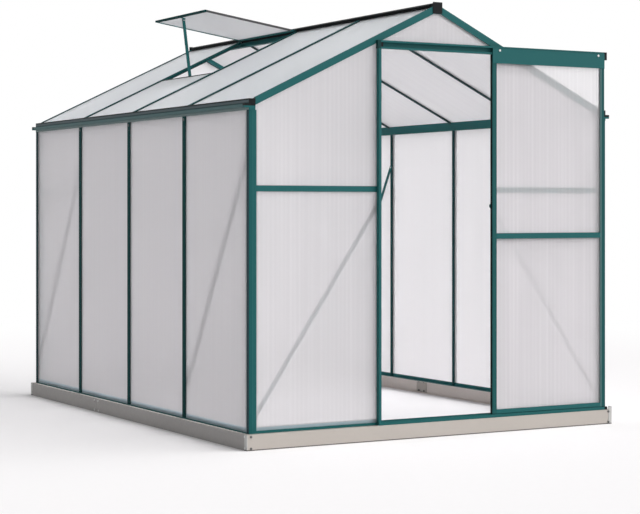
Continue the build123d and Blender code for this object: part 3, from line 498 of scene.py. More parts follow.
class Look(Enum):
    """Every finish of the greenhouse."""

    GREEN = PowderCoat(
        name="Green powder coat",
        deep=(0.012, 0.098, 0.100),
        light=(0.016, 0.112, 0.114),
        dust=(0.03, 0.13, 0.13),
        roughness=(0.42, 0.58),
        gloss=0.12,
    )
    # Painted shade: a darker, less glossy copy of the green for the studs, wall cover strips and vent
    # outer rail, standing for bars in shade; their inner parts, from 0.80 to 0.9218 m out, take a
    # greyer, lighter painted tone.
    SHADE_DARK_GREEN = replace(
        GREEN,
        name="Shade-darkened green coat",
        deep=(0.003, 0.034, 0.034),
        light=(0.004, 0.044, 0.044),
        dust=(0.007, 0.052, 0.052),
        gloss=0.02,
        bands=Bands(Axis.X, start=0.80, stops=((0.9218, (0.018, 0.055, 0.058)),)),
    )
    # Painted light and shade: a darker copy of the green for the door stiles; from 0.5 to 0.8945 m out
    # they take a pale painted band, and beyond that a darker painted strip.
    STILE_LIT_AND_SHADED_GREEN = replace(
        GREEN,
        name="Stile powder coat with painted light and shade",
        deep=(0.009, 0.076, 0.077),
        light=(0.012, 0.088, 0.089),
        bands=Bands(
            Axis.X,
            start=0.5,
            stops=((0.8945, (0.085, 0.165, 0.168)), (2.0, (0.008, 0.072, 0.074))),
        ),
    )
    # Painted shade: beyond 0.301 m from the middle, the half of each door post away from the doorway is
    # darkened for its side face in shade and the shade of the door.
    DOOR_POST_SHADED_GREEN = replace(
        GREEN,
        name="Door post powder coat with painted shade",
        bands=Bands(Axis.X, start=0.301, stops=((2.0, (0.004, 0.050, 0.053)),)),
    )
    # Painted shade: the side faces of the corner posts, beyond 0.9302 m out, are a dark navy green for
    # the shaded side, and the strip of front face next to them is a little darker.
    POST_SHADED_GREEN = replace(
        GREEN,
        name="Post powder coat with painted shade",
        bands=Bands(
            Axis.X,
            start=0.9175,
            stops=((0.9302, (0.006, 0.084, 0.088)), (2.0, (0.002, 0.026, 0.036))),
        ),
    )
    # Painted shade: a darker, less glossy copy of the green for the rafters and roof cover strips, with
    # a greyer painted shade on the parts below the roof surface.
    RAFTER_SHADED_GREEN = replace(
        GREEN,
        name="Rafter powder coat with painted shade",
        deep=(0.004, 0.068, 0.069),
        light=(0.006, 0.080, 0.081),
        dust=(0.012, 0.090, 0.090),
        gloss=0.03,
        bands=Bands(Axis.ROOF, start=1.0, stops=((1.8839, (0.050, 0.082, 0.086)),)),
    )
    # Painted light and shade on the outer faces of the eaves: the dark stripes stand for shadow gaps
    # below and along the top of the gutter lip, the paler stripes for light caught by the lip and the
    # lower flange.
    EAVE_LIT_AND_SHADED_GREEN = replace(
        GREEN,
        name="Eave powder coat with painted light and shade",
        bands=Bands(
            Axis.Z,
            start=1.40,
            stops=(
                (1.418, (0.150, 0.205, 0.205)),
                (1.4305, (0.060, 0.120, 0.125)),
                (1.4375, (0.006, 0.045, 0.046)),
                (1.4475, (0.095, 0.135, 0.150)),
                (1.46, (0.006, 0.012, 0.013)),
            ),
            outside=0.925,
        ),
    )
    # Painted light: the front side rail of the vent is coloured a neutral grey for how it is lit; the
    # back one stays green.
    VENT_EDGE_LIT = replace(
        GREEN,
        name="Vent edge coat with painted light",
        bands=Bands(Axis.Y, start=-1.0, stops=((0.3, (0.085, 0.085, 0.088)),)),
    )
    # Painted shade: near-black coat that the vent sill bar takes, standing for the shaded line along the
    # lower edge of the vent opening.
    SILL_SHADE_BLACK = PowderCoat(
        name="Black powder coat as painted shade",
        deep=(0.004, 0.006, 0.007),
        light=(0.007, 0.010, 0.011),
        dust=(0.014, 0.018, 0.019),
        roughness=(0.48, 0.62),
        gloss=0.1,
    )
    RIDGE_BLACK = replace(
        SILL_SHADE_BLACK,
        name="Ridge powder coat",
        bands=Bands(Axis.Z, start=1.0, stops=((1.872, (0.010, 0.080, 0.082)),)),
    )
    STEEL = ZincCoat(
        name="Galvanised steel",
        dark=(0.40, 0.368, 0.338),
        light=(0.50, 0.462, 0.428),
        metallic=0.3,
        roughness=(0.42, 0.6),
        patch_scale=110.0,
        patch_share=0.2,
        # Painted shadow: a dark line along the foot, below 4 mm.
        bands=Bands(Axis.Z, start=-1.0, stops=((0.004, (0.10, 0.095, 0.09)),)),
    )
    # Painted light and shade: the side rails are a darker copy of the steel for their shaded outer
    # faces, and their inner faces are painted much lighter for the light inside.
    SIDE_STEEL_LIT_AND_SHADED = replace(
        STEEL,
        name="Side rail steel with painted light and shade",
        dark=(0.270, 0.258, 0.250),
        light=(0.340, 0.326, 0.316),
        bands=Bands(Axis.X, start=0.5, stops=((0.949, (0.66, 0.61, 0.58)),)),
    )
    # Keeps the painted shadow line along the foot from the galvanised steel.
    TAB_STEEL = replace(
        STEEL,
        name="Corner tab steel",
        dark=(0.44, 0.44, 0.43),
        light=(0.52, 0.52, 0.51),
    )
    ZINC = ZincCoat(
        name="Plated fasteners",
        dark=(0.42, 0.42, 0.42),
        light=(0.62, 0.62, 0.62),
        metallic=0.5,
        roughness=(0.3, 0.45),
        patch_scale=500.0,
        patch_share=0.45,
    )
    # Dark fasteners; the bolt heads on the side faces, beyond 0.949 m out, take a pale painted
    # highlight.
    DARK_ZINC_HIGHLIT = replace(
        ZINC,
        name="Dark fasteners with painted highlight",
        dark=(0.07, 0.07, 0.07),
        light=(0.15, 0.15, 0.15),
        bands=Bands(Axis.X, start=0.949, stops=((2.0, (0.62, 0.62, 0.62)),)),
    )
    PLASTIC = Moulding(
        name="Black moulded plastic",
        deep=(0.003, 0.004, 0.005),
        light=(0.010, 0.011, 0.012),
        roughness=(0.45, 0.6),
        grain_scale=1100.0,
        gloss=0.12,
    )
    GUTTER_CAP = replace(
        PLASTIC,
        name="Gutter cap plastic",
        bands=Bands(Axis.Z, start=1.0, stops=((1.424, (0.012, 0.100, 0.102)),)),
    )
    # Painted shade: caps within 0.5 m of the middle, by the doorway, take the dark shaded green instead
    # of black.
    TRACK_CAP_SHADED = replace(
        PLASTIC,
        name="Track cap plastic with painted shade",
        bands=Bands(Axis.X, start=-1.0, stops=((0.5, (0.004, 0.034, 0.035)),)),
    )
    RUBBER = Moulding(
        name="Black rubber seal",
        deep=(0.006, 0.007, 0.007),
        light=(0.020, 0.021, 0.021),
        roughness=(0.7, 0.9),
        grain_scale=800.0,
        gloss=0.1,
    )
    FRONT_SHEET = TwinWallSheet(
        name="Front sheet",
        flutes=Flutes.UPRIGHT,
        dull=(0.725, 0.715, 0.73),
        bright=(0.825, 0.815, 0.83),
        clear=0.66,
        lines=0.5,
        bands=Bands(Axis.Z, start=-1.0, stops=((0.090, (0.60, 0.69, 0.74)),)),
    )
    # Painted light: a brighter copy of the front sheet for the door.
    DOOR_SHEET = replace(
        FRONT_SHEET,
        name="Door sheet",
        dull=(0.77, 0.76, 0.775),
        bright=(0.925, 0.915, 0.93),
        clear=0.76,
        bands=None,
    )
    LEFT_SHEET = replace(
        FRONT_SHEET,
        name="Left side sheet",
        dull=(0.755, 0.745, 0.76),
        bright=(0.795, 0.785, 0.80),
        lines=0.2,
    )
    # Painted light: a much brighter copy of the sheet for the back wall, lit from behind as seen from
    # inside.
    BACK_SHEET = replace(
        FRONT_SHEET,
        name="Back sheet",
        dull=(0.89, 0.88, 0.895),
        bright=(0.93, 0.92, 0.935),
        lines=0.2,
        bands=None,
    )
    # Painted light: the right side sheet is brighter still, for its inner face lit from behind; its
    # outward face, beyond 0.924 m, keeps plainer tones.
    RIGHT_SHEET = replace(
        BACK_SHEET,
        name="Right side sheet",
        dull=(0.945, 0.935, 0.95),
        bright=(0.98, 0.97, 0.985),
        clear=0.74,
        outer=((0.79, 0.78, 0.795), (0.85, 0.84, 0.855)),
    )
    # Painted light: the roof sheets take tones of their own, set for how each slope is lit.
    RIGHT_ROOF = replace(
        BACK_SHEET,
        name="Right roof sheet",
        flutes=Flutes.DOWN_SLOPE,
        dull=(0.755, 0.75, 0.765),
        bright=(0.845, 0.84, 0.855),
    )
    # Painted light: the left roof sheet is tinted bluer and lighter than the right, for how that slope
    # is lit.
    LEFT_ROOF = replace(
        RIGHT_ROOF,
        name="Left roof sheet",
        dull=(0.775, 0.79, 0.81),
        bright=(0.865, 0.88, 0.90),
    )
    # Painted shade: a darker copy of the roof sheet for the vent, seen from below in shade.
    VENT_SHEET = replace(
        RIGHT_ROOF,
        name="Vent sheet",
        dull=(0.67, 0.675, 0.69),
        bright=(0.73, 0.735, 0.75),
    )


Dressing = tuple[tuple[Look, tuple[str, ...]], ...]


class Workshop:
    """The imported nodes, the finished materials and the tools that every sub-assembly shares."""

    merge_distance = 1e-5

    def __init__(self, frame: dict) -> None:
        """Make every finish and every node tree once.

        Args:
            frame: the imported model.
        """
        effects = SharedEffects()
        self.nodes: dict[str, Object] = frame["nodes"]
        self.finished = {look: look.value.make(effects) for look in Look}
        self.ribs = RibTree()
        self.bolts = BoltTree()

    def dress(self, look: Look, *names: str) -> None:
        """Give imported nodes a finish.

        Args:
            look: the finish.
            names: the nodes that take it.
        """
        for name in names:
            for slot in self.nodes[name].material_slots:
                slot.material = self.finished[look]
            log.info("dressed %s in %s", name, look.value.name)

    def place(self, piece: Object, body: Body, slot: Slot) -> None:
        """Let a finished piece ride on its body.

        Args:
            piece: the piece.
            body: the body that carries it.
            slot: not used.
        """
        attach(piece, body.value)
        log.info("placed %s with %d faces on %s", piece.name, len(piece.data.polygons), body.value)

    def solids(self, name: str) -> list[Edges]:
        """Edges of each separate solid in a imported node.

        Args:
            name: the node.

        Returns:
            One list of edges, as pairs of end points, for each solid.
        """
        mesh = bmesh.new()
        mesh.from_mesh(self.nodes[name].data)
        bmesh.ops.remove_doubles(mesh, verts=mesh.verts, dist=self.merge_distance)
        left = set(mesh.verts)
        found = []
        for start in mesh.verts:
            if start not in left:
                continue
            left.discard(start)
            waiting = [start]
            edges = []
            while waiting:
                vertex = waiting.pop()
                others = [edge.other_vert(vertex) for edge in vertex.link_edges]
                edges.extend((vertex.co.copy(), other.co.copy()) for other in others)
                near = left.intersection(others)
                left -= near
                waiting.extend(near)
            found.append(edges)
        mesh.free()
        return found


class NodeTreeTool:
    """A Geometry Nodes tree that turns marked edges or points into a plain mesh."""

    def __init__(self, name: str, numbers: dict[str, float]) -> None:
        """Start the tree.

        Args:
            name: name of the tree.
            numbers: its named sizes, with their first values.
        """
        self.tree = bpy.data.node_groups.new(name, "GeometryNodeTree")
        face = self.tree.interface
        face.new_socket("Geometry", in_out="INPUT", socket_type="NodeSocketGeometry")
        self.sockets: dict[str, str] = {}
        for label, value in numbers.items():
            socket = face.new_socket(label, in_out="INPUT", socket_type="NodeSocketFloat")
            socket.default_value = value
            self.sockets[label] = socket.identifier
        material = face.new_socket("Material", in_out="INPUT", socket_type="NodeSocketMaterial")
        self.sockets["Material"] = material.identifier
        face.new_socket("Geometry", in_out="OUTPUT", socket_type="NodeSocketGeometry")
        self.bench = NodeBench(self.tree)
        self.start = self.bench.add("NodeGroupInput").outputs

    def named(self, attribute: str) -> NodeSocket:
        """A vector that the source mesh carries at its points."""
        inputs = {"Name": attribute}
        node = self.bench.add("GeometryNodeInputNamedAttribute", inputs, data_type="FLOAT_VECTOR")
        return node.outputs[0]

    def close(self, instances: Node) -> None:
        """End the tree with real geometry and its material.

        Args:
            instances: the node that sets the pieces out.
        """
        real = self.bench.add("GeometryNodeRealizeInstances", {"Geometry": instances})
        finish = {"Geometry": real, "Material": self.start["Material"]}
        self.bench.add("NodeGroupOutput", {0: self.bench.add("GeometryNodeSetMaterial", finish)})

    def run(self, name: str, source: Mesh, values: dict[str, object]) -> Object:
        """Run the tree on a source mesh.

        Args:
            name: name of the finished piece.
            source: the marked edges or points.
            values: the tree's inputs for this piece, by name.

        Returns:
            A plain mesh object at the origin.
        """
        carrier = new_object(name + "_source", source)
        modifier = carrier.modifiers.new("Tree", "NODES")
        modifier.node_group = self.tree
        for label, value in values.items():
            modifier[self.sockets[label]] = value
        evaluated = carrier.evaluated_get(bpy.context.evaluated_depsgraph_get())
        mesh = bpy.data.meshes.new_from_object(evaluated)
        mesh.name = name
        bpy.data.objects.remove(carrier)
        return new_object(name, mesh)


class RibTree(NodeTreeTool):
    """Straight ribs set side by side along edges: each edge gives their feet, "reach" where they end."""

    def __init__(self) -> None:
        """Build the tree."""
        super().__init__("Side by side ribs", {"Pitch": 0.01, "Thickness": 0.0004, "Depth": 0.003})
        bench = self.bench
        feet = bench.add("GeometryNodeMeshToCurve", {"Mesh": self.start["Geometry"]})
        spacing = {"Curve": feet, "Length": self.start["Pitch"]}
        spaced = bench.add("GeometryNodeResampleCurve", spacing, mode="LENGTH")
        bar = bench.add("GeometryNodeMeshCube", {"Size": (1.0, 1.0, 1.0)})
        standing = bench.add("GeometryNodeTransform", {"Geometry": bar, "Translation": (0.0, 0.0, 0.5)})
        reach = self.named("reach")
        upright = bench.add("FunctionNodeAlignRotationToVector", {"Vector": reach}, axis="Z")
        turned = bench.add(
            "FunctionNodeAlignRotationToVector",
            {"Rotation": upright, "Vector": self.named("facing")},
            axis="Y",
            pivot_axis="Z",
        )
        length = bench.add("ShaderNodeVectorMath", {0: reach}, operation="LENGTH")
        size = bench.add(
            "ShaderNodeCombineXYZ",
            {"X": self.start["Thickness"], "Y": self.start["Depth"], "Z": length.outputs["Value"]},
        )
        ribs = bench.add(
            "GeometryNodeInstanceOnPoints",
            {"Points": spaced, "Instance": standing, "Rotation": turned, "Scale": size},
        )
        self.close(ribs)

    def rows(self, name: str, feet: list[Foot], size: tuple[float, ...], finish: Material) -> Object:
        """Set one row of ribs between each two feet.

        Args:
            name: name of the finished piece.
            feet: the first and last foot of each row: its place, its reach and the way that it faces.
            size: pitch, thickness and depth of the ribs.
            finish: their finish.

        Returns:
            A plain mesh object at the origin.
        """
        places, reach, facing = (list(column) for column in zip(*feet))
        pairs = [(first, first + 1) for first in range(0, len(places), 2)]
        source = marked_mesh(places, pairs, {"reach": reach, "facing": facing})
        values = dict(zip(("Pitch", "Thickness", "Depth"), size))
        return self.run(name, source, values | {"Material": finish})


class BoltTree(NodeTreeTool):
    """Bolt heads on washers at points, each turned outwards along "facing"."""

    washer_sides = 20
    washer_width = 1.45
    washer_rise = 0.3
    head_sides = 6
    head_taper = 0.8
    largest_twist = 1.05

    def __init__(self) -> None:
        """Build the tree."""
        super().__init__("Bolt heads", {"Radius": 0.005, "Height": 0.003, "Seed": 4.0})
        bench = self.bench
        radius = self.start["Radius"]
        height = self.start["Height"]
        washer = bench.add(
            "GeometryNodeMeshCylinder",
            {
                "Vertices": self.washer_sides,
                "Radius": bench.math("MULTIPLY", radius, self.washer_width),
                "Depth": bench.math("MULTIPLY", height, self.washer_rise),
            },
        )
        head = bench.add(
            "GeometryNodeMeshCone",
            {
                "Vertices": self.head_sides,
                "Radius Top": bench.math("MULTIPLY", radius, self.head_taper),
                "Radius Bottom": radius,
                "Depth": height,
            },
        )
        whole = bench.add("GeometryNodeJoinGeometry")
        bench.feed(whole.inputs[0], washer)
        bench.feed(whole.inputs[0], head)
        facing = {"Vector": self.named("facing")}
        outward = bench.add("FunctionNodeAlignRotationToVector", facing, axis="Z")
        spin = bench.add(
            "FunctionNodeRandomValue",
            {2: 0.0, 3: self.largest_twist, "Seed": self.start["Seed"]},
            data_type="FLOAT",
        )
        twist = bench.add(
            "FunctionNodeAxisAngleToRotation", {"Axis": (0.0, 0.0, 1.0), "Angle": spin.outputs[1]}
        )
        turning = {"Rotation": outward, "Rotate By": twist}
        turned = bench.add("FunctionNodeRotateRotation", turning, rotation_space="LOCAL")
        heads = bench.add(
            "GeometryNodeInstanceOnPoints",
            {"Points": self.start["Geometry"], "Instance": whole, "Rotation": turned},
        )
        self.close(heads)


def new_object(name: str, data: ID) -> Object:
    """Put new data into the scene.

    Args:
        name: name of the object.
        data: its mesh, camera or lamp.

    Returns:
        The object, at the origin.
    """
    thing = bpy.data.objects.new(name, data)
    bpy.context.scene.collection.objects.link(thing)
    return thing


def solid_object(name: str, mesh: bmesh.types.BMesh, material: Material) -> Object:
    """Turn a finished working mesh into an object.

    Args:
        name: name of the object.
        mesh: the working mesh, which is freed.
        material: its finish.

    Returns:
        The object, at the origin.
    """
    data = bpy.data.meshes.new(name)
    mesh.to_mesh(data)
    mesh.free()
    data.materials.append(material)
    return new_object(name, data)


def marked_mesh(
    points: list[Vector], edges: list[tuple[int, int]], marks: dict[str, list[Vector]]
) -> Mesh:
    """Make the source mesh of a tree.

    Args:
        points: its points.
        edges: pairs of points.
        marks: a vector at every point, by attribute name.

    Returns:
        The mesh, with its attributes.
    """
    mesh = bpy.data.meshes.new("source")
    mesh.from_pydata(points, edges, [])
    for name, vectors in marks.items():
        attribute = mesh.attributes.new(name, "FLOAT_VECTOR", "POINT")
        for place, vector in enumerate(vectors):
            attribute.data[place].vector = vector
    return mesh


def upright_prisms(name: str, prisms: list[Prism], material: Material) -> Object:
    """Make closed upright prisms as one piece.

    Args:
        name: name of the piece.
        prisms: the foot outline of each prism and its height.
        material: their finish.

    Returns:
        The piece, at the origin.
    """
    mesh = bmesh.new()
    for outline, height in prisms:
        foot = mesh.faces.new([mesh.verts.new(point) for point in outline])
        raised = bmesh.ops.extrude_face_region(mesh, geom=[foot], use_keep_orig=True)
        top = [item for item in raised["geom"] if isinstance(item, bmesh.types.BMVert)]
        bmesh.ops.translate(mesh, verts=top, vec=(0.0, 0.0, height))
    bmesh.ops.recalc_face_normals(mesh, faces=mesh.faces)
    return solid_object(name, mesh, material)


@dataclass
class Studio:
    """Camera, floor, world and lamp."""

    camera_place: tuple[float, float, float] = (-4.2719, -7.7321, 0.9983)
    camera_turn: float = math.radians(-29.553)
    lens: float = 99.34
    sensor: float = 36.0
    shift: float = -0.0757
    clear_passes: int = 48
    floor_radius: float = 60.0
    floor_sides: int = 96
    floor_drop: float = 0.0005
    fade: tuple[float, float] = (2.6, 7.0)
    paper: tuple[Colour, Colour] = ((0.94, 0.93, 0.942), (0.96, 0.95, 0.962))
    paper_roughness: float = 0.9
    speck_scale: float = 30.0
    footprint: tuple[float, float] = (0.945, 1.26)
    # Painted shade: darker paper tone on the ground within the base.
    painted_floor_shade: Colour = (0.80, 0.795, 0.81)
    white: Colour = (1.0, 1.0, 1.0)
    ambient: float = 0.38
    ambient_colour: Colour = (0.98, 0.99, 1.0)
    lamp_strength: float = 3.1
    lamp_colour: Colour = (1.0, 0.985, 0.97)
    lamp_from: tuple[float, float, float] = (0.62, -0.45, 0.64)
    lamp_angle: float = math.radians(70.0)

    def build(self) -> None:
        """Set up everything around the object."""
        self._camera()
        self._world()
        self._lamp()
        self._floor()
        scene = bpy.context.scene
        scene.view_settings.view_transform = "Standard"
        scene.cycles.transparent_max_bounces = self.clear_passes
        log.info("studio ready")

    def _camera(self) -> None:
        """Level camera at the photograph's place."""
        data = bpy.data.cameras.new("Camera")
        data.sensor_fit = "HORIZONTAL"
        data.sensor_width = self.sensor
        data.lens = self.lens
        data.shift_y = self.shift
        camera = new_object("Camera", data)
        camera.location = self.camera_place
        camera.rotation_euler = (math.radians(90.0), 0.0, self.camera_turn)
        bpy.context.scene.camera = camera

    def _world(self) -> None:
        """White where it is seen, and a plain even light elsewhere."""
        world = bpy.data.worlds.new("Studio")
        world.use_nodes = True
        bench = NodeBench(world.node_tree)
        white = bench.add("ShaderNodeBackground", {"Color": self.white, "Strength": 1.0})
        even = {"Color": self.ambient_colour, "Strength": self.ambient}
        light = bench.add("ShaderNodeBackground", even)
        both = bench.add("ShaderNodeMixShader", {0: self._seen(bench), 1: light, 2: white})
        bench.add("ShaderNodeOutputWorld", {"Surface": both})
        bpy.context.scene.world = world

    def _lamp(self) -> None:
        """One broad soft lamp from the front and right."""
        data = bpy.data.lights.new("Key", "SUN")
        data.energy = self.lamp_strength
        data.angle = self.lamp_angle
        data.color = self.lamp_colour
        lamp = new_object("Key", data)
        lamp.rotation_euler = Vector(self.lamp_from).to_track_quat("Z", "Y").to_euler()

    def _floor(self) -> None:
        """Round floor, just below the base."""
        mesh = bmesh.new()
        bmesh.ops.create_circle(mesh, cap_ends=True, segments=self.floor_sides, radius=self.floor_radius)
        bmesh.ops.translate(mesh, verts=mesh.verts, vec=(0.0, 0.0, -self.floor_drop))
        floor = solid_object("Floor", mesh, self._paper())

    def _paper(self) -> Material:
        """Pale paper that keeps the shadow near the object and goes over into white, with painted shade
        on the ground within the base.

        Returns:
            The material.
        """
        material = bpy.data.materials.new("Studio floor")
        material.use_nodes = True
        bench = NodeBench(material.node_tree)
        place = bench.place()
        distance = bench.add("ShaderNodeVectorMath", {0: place}, operation="LENGTH").outputs["Value"]
        away = bench.add(
            "ShaderNodeMapRange",
            {"Value": distance, "From Min": self.fade[0], "From Max": self.fade[1]},
            interpolation_type="SMOOTHSTEP",
        ).outputs[0]
        speck = bench.noise(place, self.speck_scale, detail=2.0).outputs["Fac"]
        tone = bench.blend(self._inside(bench, place), bench.blend(speck, *self.paper), self.painted_floor_shade)
        paper = bench.add(
            "ShaderNodeBsdfPrincipled",
            {"Base Color": tone, "Roughness": self.paper_roughness, "Specular IOR Level": 0.0},
        )
        white = bench.add("ShaderNodeEmission", {"Color": self.white, "Strength": 1.0})
        share = bench.math("MULTIPLY", away, self._seen(bench))
        both = bench.add("ShaderNodeMixShader", {0: share, 1: paper, 2: white})
        bench.add("ShaderNodeOutputMaterial", {"Surface": both})
        return material

    def _inside(self, bench: NodeBench, place: NodeSocket) -> NodeSocket:
        """1 on the ground within the base, where painted shade darkens the floor.

        Args:
            bench: the floor's tree.
            place: a point on the floor.

        Returns:
            The mask.
        """
        away = bench.unsigned(place)
        within = [
            bench.math("LESS_THAN", bench.dot(away, axis.value), half)
            for axis, half in zip((Axis.X, Axis.Y), self.footprint)
        ]
        return bench.math("MULTIPLY", *within)

    def _seen(self, bench: NodeBench) -> NodeSocket:
        """1 for rays that show a surface as it is: straight, mirrored or through a sheet.

        Args:
            bench: the tree to work in.

        Returns:
            The mask.
        """
        path = bench.add("ShaderNodeLightPath").outputs
        mirrored = bench.math("MAXIMUM", path["Is Camera Ray"], path["Is Glossy Ray"])
        return bench.math("MAXIMUM", mirrored, path["Is Transmission Ray"])


@dataclass
class SubAssembly:
    """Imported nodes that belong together: each finish with the nodes that take it."""

    shop: Workshop
    dressing: Dressing = ()

    def build(self) -> None:
        """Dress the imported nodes."""
        for look, names in self.dressing:
            self.shop.dress(look, *names)


@dataclass
class SteelBase(SubAssembly):
    """Galvanised base frame that the bars stand on, with a folded tab round each corner."""

    dressing: Dressing = (
        (Look.STEEL, ("base_front_rail", "base_back_rail")),
        (Look.STEEL, ("base_corner_brackets", "base_splice_plates")),
        (Look.SIDE_STEEL_LIT_AND_SHADED, ("base_side_rails",)),
        (Look.DARK_ZINC_HIGHLIT, ("base_bolts",)),
    )
    half_width: float = 0.950
    half_length: float = 1.265
    gauge: float = 0.0012
    tab_height: float = 0.080
    low_height: float = 0.066
    front_leg: float = 0.017
    side_leg: float = 0.024

    def build(self) -> None:
        """Dress the rails, brackets and bolts, and add the corner tabs."""
        super().build()
        self._corner_tabs()

    def _corner_tabs(self) -> None:
        """Angles folded round the ends of the rails: tall ones on the right, low ones on the left."""
        prisms: list[Prism] = []
        for side, front_leg, height in (
            (-1.0, self.gauge, self.low_height),
            (1.0, self.front_leg, self.tab_height),
        ):
            for end in SIDES:
                outline = self._angle(front_leg)
                prisms.append(([Vector((side * x, end * y, 0.0)) for x, y in outline], height))
        tabs = upright_prisms("base_corner_tabs", prisms, self.shop.finished[Look.TAB_STEEL])
        self.shop.place(tabs, Body.FRAME, Slot.STEEL)

    def _angle(self, front_leg: float) -> list[tuple[float, float]]:
        """Outline of one tab round a corner, seen from above.

        Args:
            front_leg: length of the leg on the end of the house.

        Returns:
            Its corners in order.
        """
        outer_x = self.half_width + self.gauge
        outer_y = self.half_length + self.gauge
        return [
            (outer_x, outer_y),
            (outer_x, outer_y - self.side_leg),
            (self.half_width, outer_y - self.side_leg),
            (self.half_width, self.half_length),
            (self.half_width - front_leg, self.half_length),
            (self.half_width - front_leg, outer_y),
        ]


@dataclass
class FrameBars(SubAssembly):
    """Aluminium sills, posts, studs, eaves, rafters and ridge, with braces and seals."""

    dressing: Dressing = (
        (Look.GREEN, ("front_sill", "back_sill", "side_sills", "gable_rafters", "wall_braces")),
        (Look.GREEN, ("front_mid_rails", "back_mid_rails", "back_posts", "door_header")),
        (Look.GREEN, ("door_track", "door_guide", "door_jamb")),
        (Look.POST_SHADED_GREEN, ("front_corner_posts", "back_corner_posts")),
        (Look.DOOR_POST_SHADED_GREEN, ("door_posts",)),
        (Look.SHADE_DARK_GREEN, ("left_studs", "right_studs")),
        (Look.RAFTER_SHADED_GREEN, ("left_rafters", "right_rafters")),
        (Look.EAVE_LIT_AND_SHADED_GREEN, ("left_eave_gutter", "right_eave_gutter")),
        (Look.RIDGE_BLACK, ("ridge_beam",)),
        (Look.SILL_SHADE_BLACK, ("vent_sill_bar",)),
        (Look.GUTTER_CAP, ("gutter_end_caps",)),
        (Look.TRACK_CAP_SHADED, ("door_rail_end_caps",)),
        (Look.PLASTIC, ("ridge_end_caps", "track_stops")),
        (Look.RUBBER, ("wall_seals", "roof_seals")),
        (Look.ZINC, ("brace_bolts",)),
        (Look.STEEL, ("stay_catch",)),
    )
    stud_lines: tuple[float, ...] = (-0.614, 0.0, 0.614)
    wall_face: float = 0.931
    end_face: float = 1.243
    bolt_height: float = 1.393
    bolt_radius: float = 0.0042
    bolt_rise: float = 0.0032
    nose: float = 0.022
    wall_strip: float = 0.0050
    roof_strip: float = 0.0030
    vent_strip: float = 0.0016
    strip_depth: float = 0.002
    wall_rise: tuple[float, float] = (0.0715, 1.4065)
    roof_reach: tuple[float, float] = (0.0275, 0.9285)
    eave_height: float = 1.446
    bead: float = 0.0016
    bead_depth: float = 0.001
    bead_pitch: float = 0.0105
    bead_places: tuple[float, float] = (0.0075, 0.0285)

    def build(self) -> None:
        """Dress the bars and add their cover strips, beads and joint bolts."""
        super().build()
        self._wall_strips()
        self._roof_strips()
        self._post_beads()
        self._joint_bolts()

    def _strips(self, name: str, bars: list[Foot], strip: float, look: Look) -> None:
        """Set a cover strip on both sides of every bar.

        Args:
            name: name of the piece.
            bars: where each bar starts, how far it runs and the way that it faces.
            strip: width of a strip.
            look: their finish.
        """
        pitch = self.nose + strip
        half = ALONG_RIDGE * pitch / 2
        feet = [(place + step, run, face) for place, run, face in bars for step in (-half, half)]
        size = (pitch, strip, self.strip_depth)
        strips = self.shop.ribs.rows(name, feet, size, self.shop.finished[look])
        self.shop.place(strips, Body.FRAME, Slot.GREEN)

    def _wall_strips(self) -> None:
        """Cover strips beside the noses of the studs."""
        low, high = self.wall_rise
        bars: list[Foot] = []
        for side in SIDES:
            x = side * (self.wall_face - self.strip_depth / 2)
            for line in self.stud_lines:
                bars.append((Vector((x, line, low)), UP * (high - low), ACROSS * side))
        self._strips("wall_cover_strips", bars, self.wall_strip, Look.SHADE_DARK_GREEN)

    def _roof_strips(self) -> None:
        """Cover strips beside the noses of the rafters, slimmer where the vent closes between them."""
        near, far = self.roof_reach
        fall = math.tan(ROOF_PITCH)
        sunk = self.strip_depth / 2 / math.cos(ROOF_PITCH)
        z = self.eave_height + fall * (self.wall_face - near) - sunk
        wide: list[Foot] = []
        slim: list[Foot] = []
        for side in SIDES:
            run = Vector((side, 0.0, -fall)) * (far - near)
            face = Vector((side * math.sin(ROOF_PITCH), 0.0, math.cos(ROOF_PITCH)))
            for line in self.stud_lines:
                beside_vent = side < 0.0 and line >= 0.0
                (slim if beside_vent else wide).append((Vector((side * near, line, z)), run, face))
        self._strips("roof_cover_strips", wide, self.roof_strip, Look.RAFTER_SHADED_GREEN)
        self._strips("vent_cover_strips", slim, self.vent_strip, Look.RAFTER_SHADED_GREEN)

    def _post_beads(self) -> None:
        """Slim beads along the faces of the corner posts on both end walls."""
        low, high = self.wall_rise
        feet: list[Foot] = []
        for side in SIDES:
            for end in SIDES:
                for inset in self.bead_places:
                    place = Vector((side * (self.wall_face - inset), end * self.end_face, low))
                    feet.append((place, UP * (high - low), ALONG_RIDGE * end))
        size = (self.bead_pitch, self.bead, self.bead_depth)
        beads = self.shop.ribs.rows("post_beads", feet, size, self.shop.finished[Look.GREEN])
        self.shop.place(beads, Body.FRAME, Slot.GREEN)

    def _joint_bolts(self) -> None:
        """Bolt heads where the studs meet the eaves."""
        spots: list[Vector] = []
        facing: list[Vector] = []
        for side in SIDES:
            for line in self.stud_lines:
                spots.append(Vector((side * self.wall_face, line, self.bolt_height)))
                facing.append(ACROSS * side)
        values = {
            "Radius": self.bolt_radius,
            "Height": self.bolt_rise,
            "Material": self.shop.finished[Look.DARK_ZINC_HIGHLIT],
        }
        source = marked_mesh(spots, [], {"facing": facing})
        bolts = self.shop.bolts.run("stud_bolts", source, values)
        self.shop.place(bolts, Body.FRAME, Slot.ZINC)


@dataclass(frozen=True)
class FlutedSheets:
    """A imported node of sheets: its finish, and the directions along its edge and along its flutes."""

    node: str
    look: Look
    along: Vector
    flutes: Vector
    body: Body = Body.FRAME


